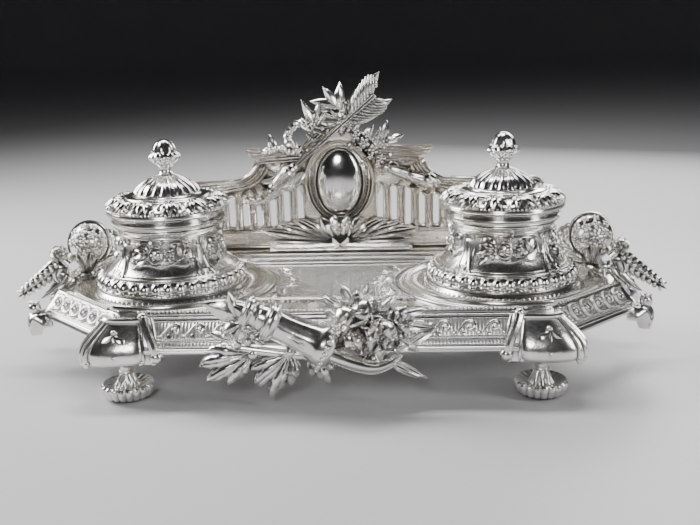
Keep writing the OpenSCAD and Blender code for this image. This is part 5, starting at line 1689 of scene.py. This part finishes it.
@dataclass
class Handle:
    """A cornucopia at one end, its flowers and the spray that trails from it."""

    name: str
    side: int
    mouth: tuple[float, float, float] = (132.0, 16.0, 60.0)

    def facing(self) -> Matrix:
        """The mouth's own frame, +Z out of it."""
        return mirrored(self.side) @ move(*self.mouth) @ turn(8, "Z") @ turn(74, "X")

    def build(self) -> None:
        """Builds the horn, its flowers and its spray."""
        self.build_horn()
        self.build_flowers()
        self.build_spray()

    def build_horn(self) -> None:
        """The curled, banded horn with its flared mouth and leafy foot."""
        form = Form()
        place = mirrored(self.side) @ move(*self.mouth)
        curve = smooth_path([p[:3] for p in HORN_CURVE], 6)
        sizes, last = [p[3] for p in HORN_CURVE], len(curve) - 1
        radii = [spread(sizes, i / last) * (1.0 if i % 3 else 0.9) for i in range(last + 1)]
        lobes, sides = 9, 54
        angles = [math.tau * i / sides for i in range(sides)]
        bulges = [1 + 0.06 * math.cos(lobes * a) for a in angles]
        tube = [(k * math.cos(a), k * math.sin(a)) for a, k in zip(angles, bulges)]
        form.add(swept(curve, radii, radii, tube, (0.2, 0.1, 1)), place)
        form.add(rippled(turned(BELL_PROFILE, 96), 16, 0.5, -8.8, -2.6), self.facing())
        foot = move(self.side * 135, 6, 41.9)
        form.add(turned([(0.3, 0), (4.2, 0), (4.3, 0.9), (3.6, 1.7), (2.9, 2.6), (3.2, 4.5),
                         (0.3, 5.2)], 48), foot)
        form.add(turned([(0.3, 0), (3.3, 0), (3.4, 5.6), (0.3, 6.0)], 32), foot @ move(0, 3, 0))
        for a in range(-150, 151, 50):
            form.add(leaf(9.5, 4.6, 1.2, 0, 1.6, 2.2, 3, outline=RIBBED),
                     foot @ turn(a, "Z") @ move(1.5, 0, 0.4) @ turn(-18, "Y"))
        for a, l in ((20, 12), (-10, 11), (48, 10)):
            form.add(leaf(l, 5.0, 1.3, -20, 0.8, 0.4, 3, outline=RIBBED),
                     mirrored(self.side) @ upright(131, 6.4, 45.5, 90 + a))
        form.dressed(f"horn_{self.name}", "curled", CASTING, crease=45)

    def build_flowers(self) -> None:
        """The flowers and berries heaped in the mouth."""
        form, chance = Form(), random.Random(3)
        face = self.facing()
        form.add(turned(HEAP_PROFILE, 48), face)
        dome = [(0.0, 0, 4.3)]
        dome += [(5.4, 12 + 60 * i, 3.1) for i in range(6)]
        dome += [(9.1, 38 * i, 1.1) for i in range(9)]
        for r, a, z in dome:
            out = face @ turn(a, "Z") @ move(r, 0, z) @ turn(r * 5.2, "Y")
            form.merge(blossom(3.0 if r < 8 else 2.4, 5, 1.3),
                       out @ turn(chance.uniform(0, 72), "Z"))
        for _ in range(26):
            r, a = 10.2 * math.sqrt(chance.random()), chance.uniform(0, 360)
            form.add(bead(chance.uniform(0.6, 1.05)),
                     face @ turn(a, "Z") @ move(r, 0, 4.9 - 0.036 * r * r))
        form.dressed(f"horn_flowers_{self.name}", "heap", CASTING, crease=45)

    def build_spray(self) -> None:
        """The serrated spray with berries, its bud and the smooth tail leaf below."""
        form = Form()
        flip = mirrored(self.side)
        y = 4.6

        def put(x: float, z: float, a: float, depth: float = y) -> Matrix:
            """A place in the spray's plane."""
            return flip @ upright(x, depth, z, a)

        form.add(leaf(33, 7.6, 2.0, -3, 0.6, 0.0, 8, outline=RIBBED), put(141.2, 53, -33.5))
        form.add(leaf(30, 2.2, 1.2, -3, 0.6), put(141.6, 53, -33.5, y - 1.4))
        for i in range(8):
            t = 0.1 + 0.11 * i
            x, z = 141.2 + 26.5 * t, 53 - 18.2 * t
            k = 1 - 0.55 * t
            for s in SIDES:
                form.add(leaf(7.2 * k, 4.4 * k, 1.7, s * 12, 0.5, blunt=True, outline=KEELED),
                         put(x, z, -33.5 + s * 42, y - 0.6))
            form.add(bead(1.25 * k + 0.35, fine=True), flip @ move(x + 1.2, y - 2.4, z + 0.3),
                     flip @ move(x + 0.2, y - 2.0, z - 1.9))
        tail = smooth_path([(140.2, y - 0.6, 49.4), (142.4, y - 1.0, 44.6), (146.6, y - 1.2, 40.0),
                            (151.2, y - 1.0, 36.2), (155.6, y - 0.8, 33.6)], 6)
        form.add(swept(tail, [1.2, 2.6, 3.0, 2.0, 0.3], [1.2, 1.6, 1.4, 0.4], VEINED, FRONT), flip)
        roll = smooth_path([(139.4, y - 1.2, 50.4), (143.4, y - 2.2, 50.0), (145.6, y - 2.4, 46.2),
                            (144.6, y - 1.8, 42.2)], 6)
        form.add(swept(roll, [1.0, 2.2, 2.4, 1.0], [1.2, 2.0, 1.8, 0.6], VEINED, FRONT), flip)
        form.add(bead(3.9, (1, 1, 1.1), True), flip @ move(143.7, y - 0.4, 57.4))
        for a in (-60, -20, 20, 60, 100, 140, 180, 220):
            form.add(leaf(7.4, 4.2, 0.9, 6, 1.2, -1.6, outline=RIBBED),
                     flip @ move(143.7, y - 0.4, 57.4) @ turn(90, "X") @ turn(a, "Z")
                     @ turn(58, "Y") @ move(-3.4, 0, 3.2))
        form.add(wire([(139, y - 0.6, 51.5), (143, y - 0.6, 55.5)], [2.6, 2.2], BACK), flip)
        form.add(wire([(141, y, 53), (141, y + 8, 53.4)], 2.3), flip)
        form.dressed(f"horn_spray_{self.name}", "leaves", CASTING, crease=45)


# ---------- inkwells ----------

# Radius, height and thickness of the fine rings round a body.
BODY_HOOPS = (
    (37, 45, 0.45), (33.6, 51.9, 0.5), (31.6, 52.9, 0.35), (25, 70.6, 0.45),
    (24.8, 69.5, 0.3), (26.5, 73.6, 0.35), (27.9, 74.9, 0.35)
)
# A chased panel's leaves: x, z, direction, length and width.
PANEL_LEAVES = (
    (-6.4, 63.6, 165, 7.5, 2.6), (-6.4, 62.2, 186, 8.4, 2.8), (-5.8, 60.6, 206, 8, 2.6),
    (-5.6, 65.4, 142, 6.6, 2.4), (-11, 59, 160, 4.8, 2), (4, 64.4, 24, 6.2, 2.4),
    (3.6, 61.4, -16, 6.6, 2.6), (4.2, 62.8, 4, 5, 2.2), (11.5, 61.2, 68, 7.4, 3.2),
    (11.5, 61.2, 104, 6.4, 2.8), (11.5, 61.2, 36, 6, 2.6), (0.8, 67, 66, 3.6, 2),
    (-3.4, 67, 112, 3.6, 2), (14.4, 58.8, 20, 4.2, 2), (8.4, 66.4, 150, 4.4, 2),
    (-13.4, 66, 40, 4.6, 2.2), (-14, 62, 100, 3.6, 1.8), (15.4, 66, 140, 4.4, 2)
)
# Its garland, a stem and its upper border.
PANEL_LINES = (
    [(-16, 59.6), (-11, 57.6), (-5, 58.2), (1, 57.2), (7, 58.4), (12, 57.2), (16, 59.2)],
    [(2.6, 60), (6.6, 59.4), (10.4, 60.4), (11.6, 62)],
    [(-16, 68), (-8, 68.7), (0, 68.4), (8, 68.7), (16, 68)]
)
# Radius, rise and thickness of the rings round a lid.
LID_HOOPS = (
    (28.35, 0.5, 0.4), (28.4, 3.2, 0.35), (30.2, 4.6, 0.5), (22.1, 11.2, 0.5), (20.6, 11.9, 0.35),
    (16.8, 12.5, 0.5)
)


def bezier(a: Point, b: Point, c: Point, d: Point, steps: int = 12) -> list[tuple[float, float]]:
    """A flat cubic curve.

    Args:
        a: Its first point.
        b: The point that it leaves towards.
        c: The point that it arrives from.
        d: Its last point.
        steps: Pieces along it.

    Returns:
        The points of the curve.
    """
    path = []
    for i in range(steps + 1):
        t, u = i / steps, 1 - i / steps
        k = (u ** 3, 3 * u * u * t, 3 * u * t * t, t ** 3)
        path.append(tuple(sum(w * p[axis] for w, p in zip(k, (a, b, c, d))) for axis in (0, 1)))
    return path


@dataclass
class Inkwell:
    """A chased inkwell body with its glass liner and its hinged, fluted lid."""

    name: str
    side: int
    axis_x: float = 84.0
    lid_z: float = 76.5
    lid_top: float = 98.4
    wall: list[tuple[float, float]] = field(default_factory=list)

    def __post_init__(self) -> None:
        """Works out the body's outside, as radius and height."""
        lower = bezier((33.3, 51.5), (29.6, 53.3), (24.6, 59.3), (24.6, 67.2), 20)
        upper = bezier((24.6, 68.2), (24.8, 71.2), (25.6, 72.2), (26.4, 73.0), 6)
        self.wall = [(36.5, 46.0), (34.3, 51.3)] + lower + upper + [(28.2, 76.2)]

    @property
    def axis(self) -> Matrix:
        """The well's axis."""
        return move(self.side * self.axis_x, 0, 0)

    def radius(self, z: float) -> float:
        """The body's radius at a height."""
        for (r0, z0), (r1, z1) in zip(self.wall, self.wall[1:]):
            if z <= z1:
                return between(r0, r1, max(0.0, (z - z0) / (z1 - z0)))
        return self.wall[-1][0]

    def build(self) -> None:
        """Builds the body, the liner, the lid and the finial."""
        self.build_body()
        self.build_liner()
        self.build_lid()
        self.build_finial()

    def wrapped(self, p: Vector) -> Vector:
        """Lays a flat ornament, drawn along x and in heights, on the body's wall."""
        a = p.x / 27.0
        r = self.radius(p.y) + p.z
        return Vector((r * math.cos(a), r * math.sin(a), p.y))

    def build_body(self) -> None:
        """The body: eggs round its foot, rings, four chased panels and four scrolled straps."""
        eggs = 38
        around = [self.axis @ turn(360 / eggs * (i + 0.5), "Z") for i in range(eggs)]
        row = Form().add(bead(1, (2.6, 2.65, 3.7), True),
                         *(a @ move(35.3, 0, 47.4) @ turn(-14, "Y") for a in around))
        row.add(bead(0.75), *(a @ turn(180 / eggs, "Z") @ move(36.9, 0, 44.9) for a in around))
        node = f"inkwell_{self.name}"
        row.piece(f"{node}_eggs", VESSEL, node)
        form = Form().add(copy_of(node))
        for r, z, t in BODY_HOOPS:
            form.add(hoop(r, z, t), self.axis)
        panel, strap_form = self.panel(), self.divider()
        for i in range(4):
            form.merge(panel, self.axis @ turn(90 * i - 90, "Z"))
            form.merge(strap_form, self.axis @ turn(90 * i - 45, "Z"))
        form.dressed(node, "chased", CHASED, node, 32)

    def panel(self) -> Form:
        """One chased panel: a rose between leaves over a wavy garland."""
        form, chance = Form(), random.Random(5)
        rose_at = move(-1.5, 62.8, 0.1)
        form.add(closed_ring(3.7, 1.3, 1.1, 28), rose_at)
        form.merge(blossom(2.9, 6, 1.2), rose_at)
        for i in range(8):
            form.add(leaf(2.6, 2.1, 0.8), rose_at @ turn(45 * i + 20, "Z") @ move(3.9, 0, 0))
        for x, z, a, l, w in PANEL_LEAVES:
            form.add(leaf(1.1 * l, 1.3 * w, 1.7, chance.uniform(-25, 25), 0.3, outline=KEELED),
                     move(x, z, 0) @ turn(a, "Z"))
        for path in PANEL_LINES:
            form.add(strap(smooth_path([(x, z, 0) for x, z in path], 5), 1.0, 1.15))
        for _ in range(9):
            form.add(bead(chance.uniform(0.35, 0.55)),
                     move(chance.uniform(-16, 16), chance.uniform(57.6, 68.5), 0))
        return form.bent(self.wrapped)

    def divider(self) -> Form:
        """One strap between two panels, with a spiral at its foot."""
        form = Form()
        for s in SIDES:
            path = smooth_path([(s * 2.6, 69.2, 0.3), (s * 1.5, 66, 0.4), (s * 1.7, 61, 0.4),
                                (s * 3.0, 56.4, 0.4), (s * 4.4, 53.4, 0.5)], 5)
            form.add(swept(path, [0.9, 0.8, 1.0, 1.3, 1.0], [0.9, 1.1, 1.2], HALF_ROUND))
        form.add(leaf(11.5, 3.2, 1.1, 0, 0.2, outline=RIBBED), move(0, 68.4, 0.2) @ turn(-90, "Z"))
        for s in SIDES:
            curl = [p + Vector((s * 3.4, 52.8, 0.5)) for p in spiral(2.9, s * 1.5, 90, 0.15)]
            form.add(swept(curl, [0.9, 0.8, 0.5], [1.0, 1.1, 1.3], HALF_ROUND))
            form.add(bead(0.75, (1, 1, 1), True), move(s * 3.4, 52.8, 1.1))
        for a in (-90, -62, -118):
            form.add(leaf(4.6, 2.0, 1.0, 0, 0.3), move(0, 55.4, 0.4) @ turn(a, "Z"))
        return form.bent(self.wrapped)

    def build_liner(self) -> None:
        """The pressed glass cup inside the body."""
        node = f"liner_{self.name}"
        form = Form().add(copy_of(node))
        form.dressed(node, "glass", GLASS, f"inkwell_{self.name}", 30)

    def build_lid(self) -> None:
        """The lid: a plain band, a border of leaves, a cove and a fluted dome."""
        node = f"lid_{self.name}"
        form = Form().add(copy_of(node))
        z0 = self.lid_z
        for r, rise, t in LID_HOOPS:
            form.add(hoop(r, z0 + rise, t), self.axis)
        spot = Form()
        spot.add(leaf(9.8, 4.4, 2.2, 0, 0.9, outline=HALF_ROUND), move(0, 4.9, 0) @ turn(-90, "Z"))
        for s in SIDES:
            flip = size(s, 1, 1)
            spot.add(leaf(9.0, 3.6, 1.9, -22, 0.8, outline=HALF_ROUND),
                     flip @ move(0.5, 4.5, 0) @ turn(-58, "Z"))
            spot.add(leaf(6.6, 3.0, 1.6, -30, 0.6, outline=HALF_ROUND),
                     flip @ move(0.8, 4.4, 0) @ turn(-24, "Z"))
        spot.add(bead(1.3, (1, 1.6, 1.1), True), move(6.9, -2.2, 0.2))
        leaves = 12
        form.merge(spot, *(self.axis @ on_ring(26.4, z0 + 8.6, 360 / leaves * (i + 0.5), 61)
                           for i in range(leaves)))
        beads = 100
        form.add(bead(0.62), *(self.axis @ turn(360 / beads * i, "Z") @ move(30.3, 0, z0 + 6.4)
                               for i in range(beads)))
        dome = [(15.0, 89.6), (16.1, 89.7), (16.5, 90.3)]
        dome += bezier((16.2, 91.0), (14.4, 94.6), (8.8, 97.2), (4.8, 98.5), 14)
        dome += [(3.0, 98.5), (15.0, 89.6)]
        form.add(rippled(turned(dome, 176), 22, 1.7, 89.5, 99.2), self.axis)
        form.dressed(node, "fluted", VESSEL, node, 34)

    def build_finial(self) -> None:
        """The finial: a waisted stem, a petalled cup and a ribbed bud."""
        z = self.lid_top
        outline = ([(0, z - 4), (1.5, z - 4), (1.5, z), (3.9, z), (4.1, z + 0.5), (3.6, z + 1.0)]
                   + bezier((3.2, z + 1.3), (2.6, z + 2.6), (2.7, z + 3.6), (3.2, z + 4.2), 5)
                   + [(3.8, z + 4.5), (3.6, z + 4.9)]
                   + bezier((3.9, z + 5.1), (6.0, z + 6.0), (8.1, z + 7.8), (8.2, z + 9.2), 8)
                   + [(7.8, z + 9.9), (7.0, z + 10.7), (6.2, z + 11.3)]
                   + bezier((6.1, z + 11.5), (6.1, z + 14.0), (4.3, z + 17.2), (0.8, z + 17.8), 10)
                   + [(0, z + 17.9)])
        shape = rippled(turned(outline, 128), 16, 0.9, z + 4.9, z + 11.4, twist=24)
        shape = rippled(shape, 8, 0.35, z + 11.6, z + 17.6, cusped=False)
        form = Form().add(shape, self.axis)
        tip = leaf(5.0, 2.8, 1.2, 0, 0.5, outline=KEELED)
        form.add(tip, *(self.axis @ turn(22.5 * i, "Z") @ move(7.6, 0, z + 7.6) @ turn(-110, "Y")
                        @ turn(14, "Z") for i in range(16)))
        form.dressed(f"finial_{self.name}", "bud", VESSEL, f"lid_{self.name}", 45)


# ---------- studio ----------

FILM_WIDTH = 36.0


@dataclass(frozen=True)
class Softbox:
    """A large soft lamp.

    Attributes:
        name: Its name.
        place: Where it hangs, in metres.
        target: What it points at.
        width: Its width.
        height: Its height.
        power: Its power in watts.
    """

    name: str
    place: tuple[float, float, float]
    target: tuple[float, float, float]
    width: float
    height: float
    power: float

    def hang(self) -> None:
        """Adds the lamp to the scene."""
        lamp = bpy.data.lights.new(self.name, "AREA")
        lamp.shape = "RECTANGLE"
        lamp.size, lamp.size_y, lamp.energy = self.width, self.height, self.power
        obj = bpy.data.objects.new(self.name, lamp)
        obj.location = self.place
        aim = Vector(self.target) - Vector(self.place)
        obj.rotation_euler = aim.to_track_quat("-Z", "Y").to_euler()
        bpy.context.scene.collection.objects.link(obj)


@dataclass
class Studio:
    """A pale floor, soft lamps and the camera.

    The camera is given in millimetres and degrees, the floor and the lamps in metres.
    """

    target: tuple[float, float, float] = (7.36, 0.0, 51.55)
    azimuth: float = 2.803
    pitch: float = 14.01
    roll: float = -1.517
    distance: float = 473.44
    lens: float = 47.83
    floor: float = 4.0
    sweep: float = 3.0
    floor_grey: Colour = (0.62, 0.62, 0.63, 1)
    surround: Colour = (0.55, 0.57, 0.60, 1)
    surround_power: float = 0.03
    lamps: tuple[Softbox, ...] = (
        Softbox("key_left", (-0.65, 0.15, 0.45), (-0.02, 0, 0.05), 0.3, 0.5, 9.0),
        Softbox("top_strip", (0.0, 0.25, 0.85), (0, 0, 0.05), 0.7, 0.16, 6.0),
        Softbox("fill_right", (0.7, -0.35, 0.4), (0.02, 0, 0.06), 0.15, 0.45, 2.4),
        Softbox("front_window", (-0.15, -1.0, 0.55), (0, 0, 0.06), 0.25, 0.25, 3.0),
        Softbox("back_rim", (0.3, 0.7, 0.35), (0, 0, 0.07), 0.5, 0.2, 4.0),
    )

    def build(self) -> None:
        """Lays the floor, hangs the lamps and sets the camera."""
        self.lay_floor()
        self.set_world()
        for lamp in self.lamps:
            lamp.hang()
        self.set_camera()

    def lay_floor(self) -> None:
        """A wide plain floor of pale grey, which sweeps up far away all round."""
        flat, sweep = self.floor, self.sweep
        rise = [(flat + sweep * math.sin(a), sweep - sweep * math.cos(a))
                for a in (math.pi * i / 40 for i in range(1, 21))]
        bm = turned([(0, 0), (flat, 0)] + rise + [(flat + sweep, 2 * sweep)])
        for face in bm.faces:
            face.smooth = True
        mesh = bpy.data.meshes.new("floor")
        bm.to_mesh(mesh)
        bm.free()
        floor = bpy.data.objects.new("floor", mesh)
        bpy.context.scene.collection.objects.link(floor)
        paint = bpy.data.materials.new("floor_paint")
        paint.use_nodes = True
        shader = paint.node_tree.nodes["Principled BSDF"]
        shader.inputs["Base Color"].default_value = self.floor_grey
        shader.inputs["Roughness"].default_value = 0.45
        mesh.materials.append(paint)

    def set_world(self) -> None:
        """A dim even surround."""
        world = bpy.context.scene.world or bpy.data.worlds.new("surround")
        bpy.context.scene.world = world
        world.use_nodes = True
        back = world.node_tree.nodes["Background"]
        back.inputs["Color"].default_value = self.surround
        back.inputs["Strength"].default_value = self.surround_power

    def set_camera(self) -> None:
        """The camera, turned and rolled about its target."""
        az, pitch, roll = (math.radians(a) for a in (self.azimuth, self.pitch, self.roll))
        back = Vector((math.sin(az) * math.cos(pitch), -math.cos(az) * math.cos(pitch),
                       math.sin(pitch)))
        right = (-back).cross(Vector((0, 0, 1))).normalized()
        up = right.cross(-back)
        across = math.cos(roll) * right + math.sin(roll) * up
        rise = -math.sin(roll) * right + math.cos(roll) * up
        camera = bpy.data.cameras.new("camera")
        camera.lens, camera.sensor_width, camera.clip_start = self.lens, FILM_WIDTH, 0.01
        obj = bpy.data.objects.new("camera", camera)
        place = Vector(self.target) * MM + back * self.distance * MM
        axes = Matrix((across, rise, back)).transposed().to_4x4()
        obj.matrix_world = Matrix.Translation(place) @ axes
        bpy.context.scene.collection.objects.link(obj)
        bpy.context.scene.camera = obj


def dress(node: str, finish: Surface) -> None:
    """Gives a construction node that stays its finish."""
    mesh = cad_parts[node].data
    mesh.materials.clear()
    mesh.materials.append(finish.material())
    log.info("%s: kept, %s", node, finish.name)


def main() -> None:
    """Builds the whole inkstand and its studio."""
    logging.basicConfig(level=logging.INFO, format="%(message)s")
    Studio().build()
    for node, finish in (("tray", STAND), ("centre_panel", ENGRAVING), ("rear_steps", STAND),
                         ("foot_studs", STEEL), ("gallery_screws", STEEL), ("front_studs", STEEL),
                         ("horn_screws", STEEL), ("hinge_pin_left", STEEL),
                         ("hinge_pin_right", STEEL)):
        dress(node, finish)
    Stand().build()
    Gallery().build()
    Trophy().build()
    FrontMount().build()
    for name, side in ENDS:
        Handle(name, side).build()
        Inkwell(name, side).build()


if __name__ == "__main__":
    main()
